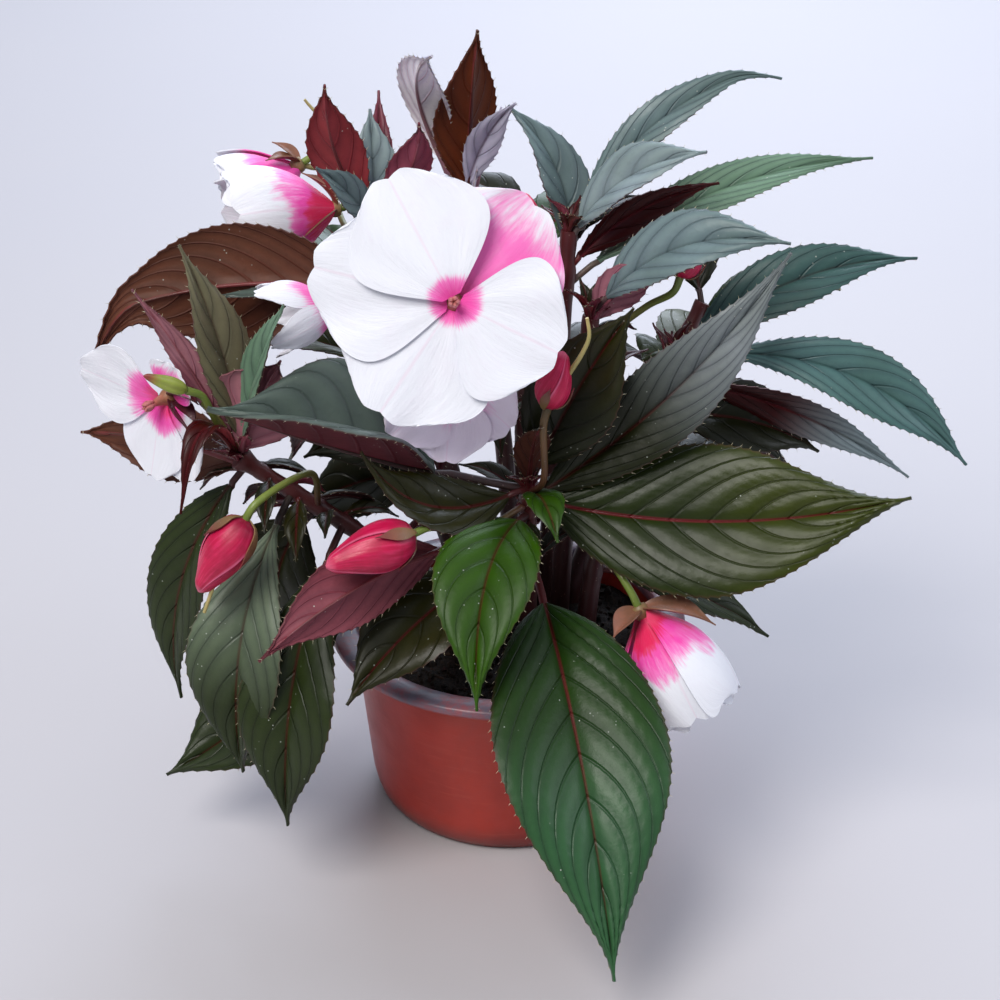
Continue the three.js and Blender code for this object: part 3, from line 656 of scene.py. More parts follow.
shoots = {
    "front": {
        "root": (6, -14), "path": [(6, -18, 88)], "apex": (6, -24, 120),
        "leaves": [
            # its tip turns to the bloom tone, painted sheen on the lower part of the blade
            leaf(0.62, (29, -125, 19), 52, "green", stalk=0.16, tipLook="bloom", hero=1),
            # its tip turns to the hedge tone, painted sheen on the outer part of the blade
            leaf(0.93, (114, -45, 127), 46, "moss", arch=-0.07, roll=50, fold=8, stalk=0.06,
                 tipLook="hedge", hero=1),
            leaf(0.84, (-9, -85, 81), 31, "fresh", arch=0.2, stalk=0.1, sweep=0.05, hero=1),
            leaf(0.95, (14, -50, 115), 12, "fresh", arch=0.2),
            leaf(1, (-41, -50, 144), 20, "olive", arch=-0.2, roll=-40, stalk=0.1),
            leaf(0.98, (-84, -42, 154), 54, "slate", arch=-0.02, roll=-10, fold=47, stalk=0.3, hero=1),
            leaf(0.72, (-70, -75, 91), 23, "purple", roll=115, stalk=0.34, hero=1),
            leaf(0.6, (-47, -62, 68), 30, "olive", roll=-20, stalk=0.25),
            leaf(1, (35, -24, 176), 29, "dark", arch=-0.02, roll=70, sweep=-0.05, tipLook="olive"),
            # dark at the base is painted shadow on the lower half, turning to smoke, painted sheen on the
            # upper half
            leaf(0.92, (79, -20, 191), 25, "dark", arch=-0.06, roll=62, twist=20, stalk=0.06,
                 tipLook="smoke", hero=1),
            leaf(1, (9, -40, 147), 11, "olive", stalk=0.06),
        ],
        "stalks": [
            {"at": 0.96, "via": [(10, -36, 128)], "bud": "centre", "greening": 0.25},
            {"at": 0.9, "via": [(-10, -38, 112)], "bud": "middle"},
            {"at": 0.86, "via": [(22, -30, 108)], "bloom": "right"},
        ],
    },
    "left": {
        "root": (-16, -8), "path": [(-34, -10, 86)], "apex": (-80, -14, 124),
        "leaves": [
            leaf(0.98, (-94, -8, 189), 18, "heath", arch=0.05, roll=-30),
            leaf(1, (-65, -24, 160), 29, "rosy", arch=-0.05, roll=-65, sweep=0.08),
            leaf(1, (-62, -38, 183), 15, "sage", arch=0.05, roll=75),
            leaf(1, (-106, -22, 181), 10, "rosy", arch=0.03, roll=65),
            leaf(0.92, (-132, 15, 118), 24, "umber", arch=0.05, roll=120),
            leaf(0.97, (-102, -20, 43), 23, "deep", arch=0.12, roll=-40, stalk=0.1),
            # ash is painted sheen on the upper part, turning to the darker deep tone, painted shade, towards
            # the tip
            leaf(0.8, (-80, -50, 36), 32, "ash", arch=0.2, stalk=0.12, full=1.15, tipLook="deep"),
            leaf(0.6, (-66, -62, 25), 31, "deep", arch=0.2, stalk=0.14, full=1.15),
            leaf(0.5, (-106, -34, 24), 34, "deep", arch=-0.12, roll=-30, stalk=0.2, full=1.3),
            leaf(1, (-94, -42, 120), 9, "maroon", arch=0.6, stalk=0.05),
            leaf(0.7, (-70, -10, 60), 32, "dark", arch=0.14, roll=-75, stalk=0.15),
        ],
        "stalks": [
            {"at": 0.7, "via": [(-58, -28, 126)], "bud": "left"},
            {"at": 0.98, "via": [(-86, -18, 140)], "bloom": "left"},
            {"at": 1, "via": [(-85, -22, 140)], "bud": "pod"},
        ],
    },
    "topLeft": {
        "root": (-12, 6), "path": [(-20, 8, 120)], "apex": (-39, 8, 190),
        "leaves": [
            leaf(1, (-51, -5, 235), 17, "maroon", arch=0.05, roll=45, sweep=0.12),
            leaf(1, (-40, 17, 221), 14, "bright", arch=0.05),
            leaf(0.96, (-38, 28, 223), 9, "rosy", arch=0.05),
            leaf(0.98, (-54, -8, 212), 11, "silver", arch=0.05, roll=-75),
            leaf(1, (-25, -8, 225), 13, "wine", arch=0.05, roll=-30, sweep=-0.12),
            leaf(0.82, (-127, 2, 160), 36, "umber", arch=0.09, roll=100, fold=8, hook=(1, 0, -18), hero=1),
            leaf(0.8, (-86, -2, 171), 11, "slate", arch=0.02, stalk=0.3),
            leaf(0.5, (-62, -2, 118), 28, "dark", roll=-45),
            leaf(0.38, (-66, 14, 90), 28, "dark", roll=-40),
            leaf(0.6, (-34, -30, 128), 22, "dark", arch=0.05),
        ],
        "stalks": [
            {"at": 0.9, "via": [(-40, 18, 172)], "bloom": "backLeft"},
            {"at": 0.86, "via": [(-50, 40, 176)], "bloom": "backLeftUpper"},
            {"at": 0.7, "via": [(-38, -4, 156)], "bloom": "behind"},
        ],
    },
    "top": {
        "root": (2, 12), "path": [(-2, 16, 120)], "apex": (-13, 22, 193),
        "leaves": [
            leaf(1, (-21, -8, 244), 18, "pale", roll=-20, sweep=0.2, hero=1),
            leaf(0.97, (-9, 14, 245), 22, "brown", arch=0.03, roll=10, hero=1),
            leaf(1, (2, 0, 228), 10, "pale", arch=0.08, roll=130),
            leaf(0.94, (-2, 22, 220), 10, "pale", arch=0.05),
        ],
        "stalks": [
            {"at": 0.8, "via": [(-10, -4, 176), (-13, -22, 178)], "bloom": "main"},
            {"at": 0.84, "via": [(4, 2, 188)], "bud": "top"},
            {"at": 0.6, "via": [(-4, -8, 150)], "bloom": "under"},
        ],
    },
    "topRight": {
        "root": (12, 14), "path": [(15, 16, 120)], "apex": (18, 17, 184),
        "leaves": [
            leaf(0.9, (0, 33, 217), 20, "silver", sweep=0.1),
            leaf(1, (78, 30, 231), 13, "silver", arch=0.12, roll=40, hook=(2, 0, -5), hero=1),
            leaf(0.97, (56, 0, 214), 21, "bright", arch=0.12, roll=35, hero=1),
            leaf(0.9, (62, 18, 198), 12, "maroon", roll=100),
            leaf(0.86, (110, 38, 199), 15, "sage", roll=40, hero=1),
        ],
        "stalks": [],
    },
    "right": {
        "root": (16, 0), "path": [(18, -2, 100)], "apex": (24, -6, 166),
        "leaves": [
            leaf(1, (78, -25, 196), 22, "silver", arch=0.16, roll=40, hero=1),
            leaf(0.97, (45, -12, 184), 14, "rosy", roll=-80),
            leaf(0.6, (40, 26, 128), 30, "dark", roll=45),
        ],
        "stalks": [{"at": 0.9, "via": [(40, -8, 170)], "bud": "rightUpper"}],
    },
    "rightLow": {
        "root": (24, -10), "path": [(28, -8, 92)], "apex": (49, 0, 150),
        "leaves": [
            leaf(0.98, (121, 12, 177), 20, "teal", arch=0.12, roll=40, hero=1),
            leaf(1, (136, -15, 122), 20, "ocean", arch=0.16, roll=50, full=1.15, hero=1),
            leaf(0.94, (124, 8, 106), 12, "maroon", arch=0.06, roll=120, twist=-60, tipLook="bright"),
            leaf(0.8, (95, 4, 117), 25, "dark", roll=40),
            leaf(0.28, (82, -6, 57), 20, "deep", arch=0.07, roll=15),
            leaf(0.62, (84, 24, 100), 28, "dark"),
        ],
        "stalks": [],
    },
    "backLeft": {
        "root": (-14, 20), "path": [(-28, 36, 96)], "apex": (-50, 52, 152), "leaves": [], "stalks": [],
        "whorl": {"turn": 130, "reach": 66, "wide": 28, "lean": 125},
    },
    "back": {
        "root": (2, 28), "path": [(5, 44, 100)], "apex": (8, 76, 160), "leaves": [], "stalks": [],
        "whorl": {"turn": 80, "reach": 64, "wide": 28, "lean": 85},
    },
    "backRight": {
        "root": (21, 22), "path": [(36, 38, 92)], "apex": (62, 52, 146), "leaves": [], "stalks": [],
        "whorl": {"turn": 30, "reach": 64, "wide": 28, "lean": 40},
    },
}

throat = {
    "depth": 3.0,
    "radius": 9.0,
    "back": 2.2,
    "column": 9.2,
    "columnRadius": 2.9,
    "columnTones": ((148, 120, 84), (176, 96, 88)),
    "beads": 5,
    "beadTone": (186, 112, 112),
}
white = (238, 240, 248)
lilac = (248, 236, 250)


def petalRow(turn, long, wide, layer, flush, deep):
    return {"turn": turn, "long": long, "wide": wide, "layer": layer, "fade": flush, "deep": deep}


def bell(turn, long, wide, flush, deep):
    return [petalRow(turn + 72 * k, long, wide, (2 * k) % 5 - 2, flush, deep) for k in range(5)]


blooms = {
    "main": {
        "centre": (-15, -43, 186), "facing": (0.02, -0.92, 0.39),
        "petals": [
            petalRow(118, 39.5, 41, 2, 8, 0.72),
            petalRow(334, 33, 42, 1, 8, 0.72),
            petalRow(166, 41, 43, 0, 8, 0.75),
            petalRow(236, 38, 46, -1, 8, 0.75),
            petalRow(50, 36, 43, -2, 46, 0.52),
        ],
    },
    "under": {
        "centre": (-16, -32, 157), "facing": (0, -0.92, -0.1), "cup": 30, "tint": lilac, "ruffle": 2.2,
        "petals": [
            petalRow(215, 24, 26, 1, 14, 0.5),
            petalRow(265, 24, 26, 0, 12, 0.5),
            petalRow(325, 22, 26, -1, 14, 0.5),
        ],
    },
    "backLeftUpper": {
        "centre": (-70, 72, 183), "facing": (-0.85, -0.2, -0.4), "cup": 66,
        "petals": bell(20, 24, 40, 20, 0.8),
        "sepals": [((-10, -8, 4), 6), ((-9, 4, 6), 5)], "spur": [(6, 4, -2), (8, 6, 10), (2, 4, 20)],
    },
    "backLeft": {
        "centre": (-56, 33, 184), "facing": (-0.95, -0.2, -0.08), "cup": 66,
        "petals": bell(50, 33, 56, 21, 1.0),
        "sepals": [((-14, -16, -9), 9), ((-10, -2, 12), 7)],
    },
    "behind": {
        "centre": (-51, -15, 174), "facing": (-0.95, -0.04, -0.25), "cup": 76,
        "petals": bell(70, 23, 14, 12, 1.0),
    },
    "left": {
        "centre": (-102, -15, 143), "facing": (-0.6, -0.75, 0), "cup": 8,
        "petals": [
            petalRow(172, 30, 26, 1, 12, 0.95),
            petalRow(262, 26, 26, 0, 10, 0.95),
            petalRow(300, 26, 24, -1, 10, 0.9),
            petalRow(60, 14, 18, -2, 12, 0.9),
        ],
        "sepals": [((10, -12, 3), 7), ((8, -12, -8), 7)], "sepalTone": (84, 18, 34),
    },
    "right": {
        "centre": (40, -45, 86), "facing": (0.45, -0.32, -0.84), "cup": 68,
        "petals": bell(14, 34, 58, 20, 1.0),
        "sepals": [((22, -6, -2), 9), ((-8, -10, -4), 7)],
    },
}

buds = {
    "left": {
        "base": (-75, -45, 120), "tip": (-89, -50, 99), "fat": 7.5, "twist": 0.4,
        "spur": [(-82, -50, 108), (-88, -50, 92)],
    },
    "middle": {"base": (-27, -50, 118), "tip": (-51, -62, 114), "fat": 8, "twist": 2.2},
    "centre": {
        "base": (11, -38, 152), "tip": (15, -38, 169), "fat": 5.5, "twist": 1.2,
        "spur": [(20.5, -39.0, 169.4), (22.1, -39.0, 174.2), (21.4, -39.0, 179.6)],
    },
    "rightUpper": {"base": (49, -12, 181), "tip": (53, -12, 192), "fat": 5, "twist": 3.0},
    "top": {"base": (5, -14, 198), "tip": (4, -12, 206), "fat": 4, "twist": 0.0},
    "pod": {"base": (-92, -27, 152), "tip": (-103, -32, 159), "fat": 2.4},
}
stemSize = {
    "foot": 3.3,
    "tip": 2.2,
    "depth": 14.0,
    "end": 0.995,
    "joint": 0.35,
    "jointShare": 0.018,
    # red-brown stems, darkened as painted shade of the crown's centre, most at the foot
    "tones": ((34, 16, 13), (84, 32, 34)),
}
stalkSize = {
    "radius": 1.0,
    "flare": 0.25,
    "straight": 5.0,
    "gap": 0.05,
    "samples": 40,
    "tones": ((92, 40, 40), (120, 138, 62)),
    "greening": 1.2,
}


def stemPath(shoot):
    x, y = shoot["root"]
    foot = [(x, y, soilLevel + (share - 1) * stemSize["depth"]) for share in (0, 0.7, 1.3)]
    return smoothPath([*foot, *shoot["path"], shoot["apex"]])


# leaves by rule up the stems of the three shoots behind
whorlShape = {
    "count": 7,
    "lowest": 0.45,
    "turn": 137.5,
    "shorter": 0.35,
    "narrower": 0.3,
    "arch": 0.16,
    # dark is painted shade and hedge is painted sheen, as in leafTones
    "looks": ("deep", "green", "dark", "hedge"),
}


def whorlRows(whorl, spotAt):
    rows = []
    lean = math.radians(whorl["lean"])
    for k in range(whorlShape["count"]):
        share = k / (whorlShape["count"] - 1)
        at = whorlShape["lowest"] + (1 - whorlShape["lowest"]) * share
        turn = math.radians(whorl["turn"] + whorlShape["turn"] * k)
        step = arr([0.75 * math.cos(turn) + 0.45 * math.cos(lean),
                    0.75 * math.sin(turn) + 0.45 * math.sin(lean), 0.85 * share - 0.5])
        tip = spotAt(at) + whorl["reach"] * (1 - whorlShape["shorter"] * share) * step
        wide = whorl["wide"] * (1 - whorlShape["narrower"] * share)
        rows.append(leaf(at, tip, wide, whorlShape["looks"][k % 4], arch=whorlShape["arch"]))
    return rows


def stalkEnd(row):
    # where a stalk ends just short of its bud or bloom, and the way back along it
    if "bud" in row:
        bud = buds[row["bud"]]
        back = unit(arr(bud["base"]) - arr(bud["tip"]))
        return arr(bud["base"]) + back * stalkSize["gap"], back
    bloom = blooms[row["bloom"]]
    back = -unit(arr(bloom["facing"]))
    return arr(bloom["centre"]) + back * (throat["depth"] + throat["back"] + stalkSize["gap"]), back


# a crown of young leaves hides each stem's end
crown = {
    "shoots": ("front", "left", "topLeft", "topRight", "right", "rightLow"),
    "count": 7,
    "turn": 2.4,
    "long": (8, 15),
    "slim": 0.3,
    "looks": ("wine", "olive", "maroon"),
}
# smaller leaves between the big ones, further down the stem
lower = {
    "count": {"left": 16, "front": 8, "topLeft": 14, "top": 10, "right": 8, "topRight": 4, "rightLow": 8},
    "turn": 2.1,
    "start": 0.04,
    "reach": 0.5,
    "long": (16, 30),
    "slim": 0.32,
    # dark here is painted shade for these inner leaves
    "looks": ("dark", "olive", "dark", "wine"),
}


def pieceName(kind, name):
    return kind + name[0].upper() + name[1:]


def makeShoot(name, shoot):
    heap = newHeap()
    path = stemPath(shoot)
    below = (stemSize["depth"] + 2) / pathLength(path)

    def shareAt(at):
        return below + (stemSize["end"] - below) * at

    def spotAt(at):
        return spotOn(path, shareAt(at))

    rows = [*shoot["leaves"]]
    if "whorl" in shoot:
        rows += whorlRows(shoot["whorl"], spotAt)
    share = np.linspace(0, 1, 70)
    radius = stemSize["foot"] + (stemSize["tip"] - stemSize["foot"]) * share
    for row in rows:
        away = (share - shareAt(row["at"])) / stemSize["jointShare"]
        radius = radius + stemSize["joint"] * np.exp(-away ** 2)
    # darker towards the foot: painted shade
    pourTube(heap, spotOn(path, share), radius, 14, 2, between(*stemSize["tones"], share[:, None]))
    for k, row in enumerate(rows):
        pourLeaf(heap, {**row, "base": spotAt(row["at"]), "seed": 0.37 * k + 0.1 * len(name)})
    rise = unit(path[-1] - path[-12])
    for k in range(crown["count"] if name in crown["shoots"] else 0):
        angle = crown["turn"] * k + len(name)
        away = unit(rise * dice.uniform(0.5, 1.6) + arr([math.cos(angle), math.sin(angle), 0.25]))
        long = dice.uniform(*crown["long"])
        base = path[-1] - rise * dice.uniform(0, 3)
        row = leaf(1, base + away * long, long * crown["slim"], crown["looks"][k % 3], arch=0.12)
        pourLeaf(heap, {**row, "base": base, "seed": k, "roll": dice.uniform(-30, 30)})
    for k in range(lower["count"].get(name, 0)):
        angle = lower["turn"] * k + 0.5
        down = lower["start"] + lower["reach"] * k / lower["count"][name]
        base = path[-1 - int(down * len(path))]
        away = unit(arr([math.cos(angle), math.sin(angle), dice.uniform(-0.7, 0.5)]))
        long = dice.uniform(*lower["long"])
        row = leaf(1, base + away * long, long * lower["slim"], lower["looks"][k % 4], arch=0.15, stalk=0.15)
        pourLeaf(heap, {**row, "base": base, "seed": k, "roll": dice.uniform(-30, 30)})
    share = np.linspace(0, 1, stalkSize["samples"])
    for row in shoot["stalks"]:
        end, back = stalkEnd(row)
        bends = [spotAt(row["at"]), *row["via"], end + back * stalkSize["straight"], end]
        green = np.clip(row.get("greening", stalkSize["greening"]) * share, 0, 1)[:, None]
        girth = stalkSize["radius"] + stalkSize["flare"] * share ** 6
        way = smoothPath(bends, stalkSize["samples"])
        pourTube(heap, way, girth, 10, 2, between(*stalkSize["tones"], green))
    makePiece(pieceName("shoot", name), heap, shootMaterials, "foliage", "shoot_" + name)


for name, shoot in shoots.items():
    makeShoot(name, shoot)
print("shoots made:", len(shoots))


petalSize = {
    "thick": 0.36,
    "start": 1.5,
    "layer": 1.05,
    "reach": 36,  # where the cup is fully bent
    "notch": 0.05,
    "notchWidth": 0.35,
    "crease": 0.25,
    "flutter": 0.22,
    "husk": (140, 92, 74),
    "spur": (190, 176, 120),
}


def petalShape(share):
    rise = 0.14 + 0.86 * np.sin(np.pi / 2 * np.minimum(share / 0.6, 1)) ** 1.1
    drop = np.sqrt(np.maximum(1 - ((share - 0.6) / 0.5) ** 2, 0))
    return np.where(share > 0.6, drop, rise)


def makeBloom(name, bloom):
    heap = newHeap()
    axis = unit(arr(bloom["facing"]))
    right = unit(arr([1, 0, 0]) - axis * axis[0])
    top = np.cross(axis, right)
    heart = arr(bloom["centre"])
    bend = math.radians(bloom.get("cup", 0))
    tint = linear(bloom.get("tint", white))

    def place(reach, turn, layer):
        share = reach / petalSize["reach"]
        tilt = bend * np.minimum(1, 0.35 + 0.65 * share)
        radius = reach * np.cos(tilt) - layer * np.sin(tilt)
        dip = throat["depth"] * np.maximum(0, 1 - reach / throat["radius"]) ** 2
        ripple = 0.8 * share ** 2 * np.sin(5 * turn + 1) + 0.4 * share * np.sin(11 * turn + 0.5)
        height = reach * np.sin(tilt) - dip + (layer + ripple) * np.cos(tilt)
        flat = right * (radius * np.cos(turn))[..., None] + top * (radius * np.sin(turn))[..., None]
        return heart + axis * height[..., None] + flat

    for k, petal in enumerate(bloom["petals"]):
        share = np.linspace(0, 1, 27)[:, None]
        hand = np.linspace(-1, 1, 25)[None, :]
        notch = petalSize["notch"] * np.maximum(0, 1 - np.abs(hand) / petalSize["notchWidth"])
        reach = petal["long"] * (1 - 0.2 * hand ** 2 - notch)
        out = petalSize["start"] + (reach - petalSize["start"]) * share
        off = hand * 0.5 * petal["wide"] * petalShape(share)
        crease = -petalSize["crease"] * np.exp(-(off / 1.4) ** 2) * share
        flutter = petalSize["flutter"] * bloom.get("ruffle", 1) * share ** 3 * np.sin(9 * hand + 2 * k)
        far = np.hypot(out, off)
        turn = math.radians(petal["turn"]) + np.arctan2(off, out)
        grid = place(far, turn, petal["layer"] * petalSize["layer"] + crease + flutter)
        where = np.stack(np.broadcast_arrays(hand, far, petal["deep"]), -1)
        pourSheet(heap, grid, petalSize["thick"], (0, 0), (tint, tint), where, petal["fade"])
    # the throat's green and pink column, then what sits behind it
    behind = throat["depth"] + throat["back"]
    share = np.linspace(0, 1, 16)
    line = heart + axis * (share * throat["column"] - behind)[:, None]
    girth = (1 - 0.75 * share ** 1.5) * (0.75 + 0.25 * np.sin(np.pi * np.minimum(1, 2.2 * share)))
    shade = between(*throat["columnTones"], share[:, None])
    pourTube(heap, line, throat["columnRadius"] * girth, 14, 1, shade)
    for k in range(throat["beads"]):
        angle = 2 * np.pi * k / throat["beads"]
        off = right * math.cos(angle) + top * math.sin(angle)
        bead = heart + axis * 4 + off * 0.9 + axis * np.linspace(-1.5, 2.2, 7)[:, None]
        girth = 0.85 * np.sin(np.pi * np.linspace(0.12, 0.9, 7))
        pourTube(heap, bead, girth, 8, 1, linear(throat["beadTone"]))
    back = heart - axis * (behind - 1)
    husk = linear(bloom.get("sepalTone", petalSize["husk"]))
    for tip, wide in bloom.get("sepals", []):
        length, ribAt, framesAt = leafAxis({"base": back, "tip": back + arr(tip)})
        s = np.linspace(0, 1, 15)
        u = np.linspace(-1, 1, 9)[None, :]
        half = (np.maximum(bladeShape(s), 0.03) * wide / 2)[:, None]
        along, local, out = framesAt(s)
        bowl = out[:, None] * (half * u)[..., None] + local[:, None] * (0.5 * half * u ** 2)[..., None]
        pourSheet(heap, ribAt(s)[:, None] + bowl, 0.4, (1, 1), (husk, husk * 0.8), 0.0, 0.0)
    if "spur" in bloom:
        way = smoothPath([back, *[back + arr(p) for p in bloom["spur"]]], 30)
        pourTube(heap, way, np.linspace(1.1, 0.45, 30), 8, 1, linear(petalSize["spur"]))
    makePiece(pieceName("bloom", name), heap, [petalSkin, skin], "petal", "bloom_" + name)


for name, bloom in blooms.items():
    makeBloom(name, bloom)
print("blooms made:", len(blooms))


budLook = {
    "flesh": (192, 8, 68),
    "wraps": 3,
    "span": 2.9,
    "shear": 1.1,
    "thick": 0.3,
    "sepals": (0.5, 0.4, 0.3),
    "sepalThick": 0.35,
    "sepalTones": ((140, 116, 76), (126, 40, 52)),
    "spur": (196, 178, 118),
    "podTones": ((154, 166, 74), (140, 60, 50)),
}


def makeBud(name, bud):
    heap = newHeap()
    base, tip = arr(bud["base"]), arr(bud["tip"])
    axis = unit(tip - base)
    side = unit(np.cross(axis, arr([0.2, 1, 0.1])))
    other = np.cross(axis, side)
    length = np.linalg.norm(tip - base)
    isPod = name == "pod"

    def profile(share):
        swell = 0.32 + 0.68 * np.sin(np.pi * share ** 0.72)
        tipClose = np.sqrt(np.clip((1.005 - share) / 0.08, 0.01, 1))
        footClose = np.sqrt(np.clip(share / 0.05 + 0.15, 0, 1))
        return bud["fat"] * swell * (1 - 0.2 * share) * tipClose * footClose

    def spot(share, angle, radius):
        spokes = np.cos(angle)[..., None] * side + np.sin(angle)[..., None] * other
        return base + axis * (share * length)[..., None] + spokes * radius[..., None]

    share = np.linspace(0, 1, 34)[:, None]
    if isPod:
        turn = np.linspace(0, 2 * np.pi, 40, endpoint=False)[None, :] + 0 * share
        grid = spot(share + 0 * turn, turn, profile(share) * (1 + 0.1 * np.cos(5 * turn)))
        pourRound(heap, grid, 1, between(*budLook["podTones"], smooth(0.6, 0.95, share)))
    else:
        flesh = linear(budLook["flesh"])
        pourTube(heap, base + axis * (share * length), 0.9 * profile(share[:, 0]), 20, 0, flesh, vein=0.6)
        for k in range(budLook["wraps"]):
            free = np.linspace(0, 1, 18)[None, :]  # 0 on the free edge
            turn = bud["twist"] + 2 * np.pi * k / budLook["wraps"]
            angle = turn + budLook["span"] * free + budLook["shear"] * share
            radius = profile(share) * (1.02 - 0.11 * free) - 0.15 + 0.12 * np.sin(27 * free + 4 * share)
            grid = spot(share + 0 * free, angle, np.maximum(radius, 0.1))
            place = np.stack([angle, share + 0 * free, 0 * angle], -1)
            pourSheet(heap, grid, budLook["thick"], (0, 0), (flesh, flesh), place, free)
        for k, reach in enumerate(budLook["sepals"]):
            s = np.linspace(0, 1, 14)[:, None]
            u = np.linspace(-1, 1, 7)[None, :]
            angle = bud["twist"] + 2.1 * k + 0.26 * np.maximum(bladeShape(s), 0.05) * u + 0.3 * s
            girth = profile(s * reach) + 0.35 + 0.8 * s ** 4
            grid = spot(s * reach + 0 * u - 0.02, angle, girth + 0 * u)
            shade = between(*budLook["sepalTones"], s)[:, None, :]
            pourSheet(heap, grid, budLook["sepalThick"], (1, 1), (shade, shade), 0.0, 0.0)
    if "spur" in bud:
        way = smoothPath([base + axis * 0.12 * length, *bud["spur"]], 30)
        pourTube(heap, way, np.linspace(0.9, 0.5, 30), 8, 1, linear(budLook["spur"]))
    if isPod:
        makePiece("seedPod", heap, [budSkin, skin], "pod", "pod")
    else:
        makePiece(pieceName("bud", name), heap, [budSkin, skin], "bud", "bud_" + name)


for name, bud in buds.items():
    makeBud(name, bud)
print("buds made:", len(buds))


# pot
potSize = {
    "profile": [
        (0, 0), (38.6, 0), (40.3, 0.7), (41.9, 3.0), (43.0, 6.2), (43.8, 10), (48.6, 56.2), (49.6, 57.2),
        (54.6, 57.6), (55.6, 58.1), (56.0, 59.0), (55.9, 60.3), (55.3, 61), (48.6, 61), (47.6, 60.3),
        (47.2, 59), (42.4, 11), (41.0, 5.2), (38.9, 2.4), (0, 2.4),
    ],
    "sides": 144,
    "drains": 4,
    "drainRadius": 3.0,
    "drainRing": 24.0,
    "red": (184, 48, 26),
    "deepRed": (152, 36, 20),
    "scuff": (196, 84, 62),
    # foot is painted shade: the pot's wall darkened near the floor
    "foot": (70, 26, 20),
    # the grey-lilac lip top is partly real peat dust and partly painted sheen, a reflection of the sky
    "dustAndSheen": (104, 102, 118),
}


def potMaterial():
    material, tree, shader = newMaterial("potPlastic")
    where = node(tree, "TexCoord").outputs["Object"]
    high = node(tree, "SeparateXYZ", {0: where}).outputs[2]
    cloud = noise(tree, where, 22.0, 5.0, 0.6, 0.3)
    fine = noise(tree, where, 900.0, 3.0, 0.6)
    brushed = noise(tree, scaled(tree, where, (1, 1, 9)), 60.0, 4.0, 0.6)
    # patchy grey-lilac band on the lip top: real dust mixed with painted sheen
    patchiness = fade(tree, noise(tree, where, 160.0, 5.0, 0.7), 0.36, 0.6, 0.55, 1.0)
    dustAndSheen = times(tree, patchiness, fade(tree, high, 0.0578, 0.0592, 0.05, 0.95))
    colour = rgba(potSize["red"])
    for share, tint in (
        (fade(tree, cloud, 0.3, 0.72), "deepRed"),
        (fade(tree, brushed, 0.55, 0.75, 0.0, 0.25), "scuff"),
        # painted shade at the pot's foot
        (fade(tree, high, 0.012, 0.0, 0.0, 0.55), "foot"),
        (dustAndSheen, "dustAndSheen"),
    ):
        colour = colourMix(tree, share, colour, rgba(potSize[tint]))
    setShader(tree, shader, Base_Color=colour, Roughness=fade(tree, cloud, 0.3, 0.7, 0.3, 0.48),
              Specular_IOR_Level=0.5)
    bumpChain(tree, shader, [(brushed, 0.12, 0.0003), (fine, 0.12, 0.00008), (dustAndSheen, 0.3, 0.0002)])
    return material


def makePot():
    heap = newHeap()
    rings = arr(potSize["profile"])[1:-1]
    turns = np.linspace(0, 2 * np.pi, potSize["sides"], endpoint=False)
    across, high = rings[:, :1], np.repeat(rings[:, 1:], len(turns), 1)
    grid = np.stack([across * np.cos(turns), across * np.sin(turns), high], -1)
    pourRound(heap, grid, 0, linear(potSize["red"]))
    pot = makePiece("nurseryPot", heap, [potMaterial()], "pot", "pot")
    for k in range(potSize["drains"]):
        angle = 2 * np.pi * (k + 0.5) / potSize["drains"]
        ring = potSize["drainRing"] * mm
        spot = (ring * math.cos(angle), ring * math.sin(angle), 0)
        bpy.ops.mesh.primitive_cylinder_add(
            vertices=32, radius=potSize["drainRadius"] * mm, depth=0.02, location=spot)
        drill = bpy.context.object
        cut = pot.modifiers.new("drain", "BOOLEAN")
        cut.operation = "DIFFERENCE"
        cut.object = drill
        bpy.context.view_layer.objects.active = pot
        bpy.ops.object.modifier_apply(modifier="drain")
        bpy.data.objects.remove(drill)


makePot()


# peat: an uneven bed with crumbs and bark bits on it
peat = {
    "top": 46.2,
    "bottom": 3.0,
    "footRadius": 38.4,
    "crumbs": 900,
    "bark": 130,
    "dark": (14, 10, 8),
    "barkTone": (54, 38, 28),
    "dry": (34, 25, 19),
    "fibre": (58, 42, 30),
}


def peatMaterial():
    material, tree, shader = newMaterial("peatCrumb")
    tone, place, vein, where = readPoint(tree)
    coarse = noise(tree, where, 260.0, 6.0, 0.7)
    fine = noise(tree, where, 1400.0, 5.0, 0.7)
    sockets = {"Vector": where, "Scale": 150.0, "Distortion": 14.0, "Detail": 4.0}
    fibre = node(tree, "TexWave", sockets).outputs[1]
    colour = colourMix(tree, fade(tree, coarse, 0.4, 0.7), tone, rgba(peat["dry"]))
    colour = colourMix(tree, fade(tree, fibre, 0.8, 1.0, 0.0, 0.3), colour, rgba(peat["fibre"]))
    setShader(tree, shader, Base_Color=colour, Roughness=fade(tree, fine, 0.3, 0.7, 0.78, 0.98),
              Specular_IOR_Level=0.25)
    bumpChain(tree, shader, [(coarse, 1.0, 0.0012), (fine, 0.9, 0.0005)])
    return material


def crumbShape():
    mesh = bpy.data.meshes.new("crumbShape")
    form = bmesh.new()
    bmesh.ops.create_icosphere(form, subdivisions=1, radius=1.0)
    form.to_mesh(mesh)
    form.free()
    knobs = arr([v.co for v in mesh.vertices])
    facets = np.array([p.vertices[:] for p in mesh.polygons])
    bpy.data.meshes.remove(mesh)
    return knobs, facets


def peatHeight(x, y):
    low = 0.7 * np.sin(x / 5.1 + 1) * np.cos(y / 4.3) + 0.6 * np.sin((x + y) / 2.9)
    return soilLevel - 0.6 + low + 0.35 * np.sin(x / 1.4) * np.sin(y / 1.7 + 2)


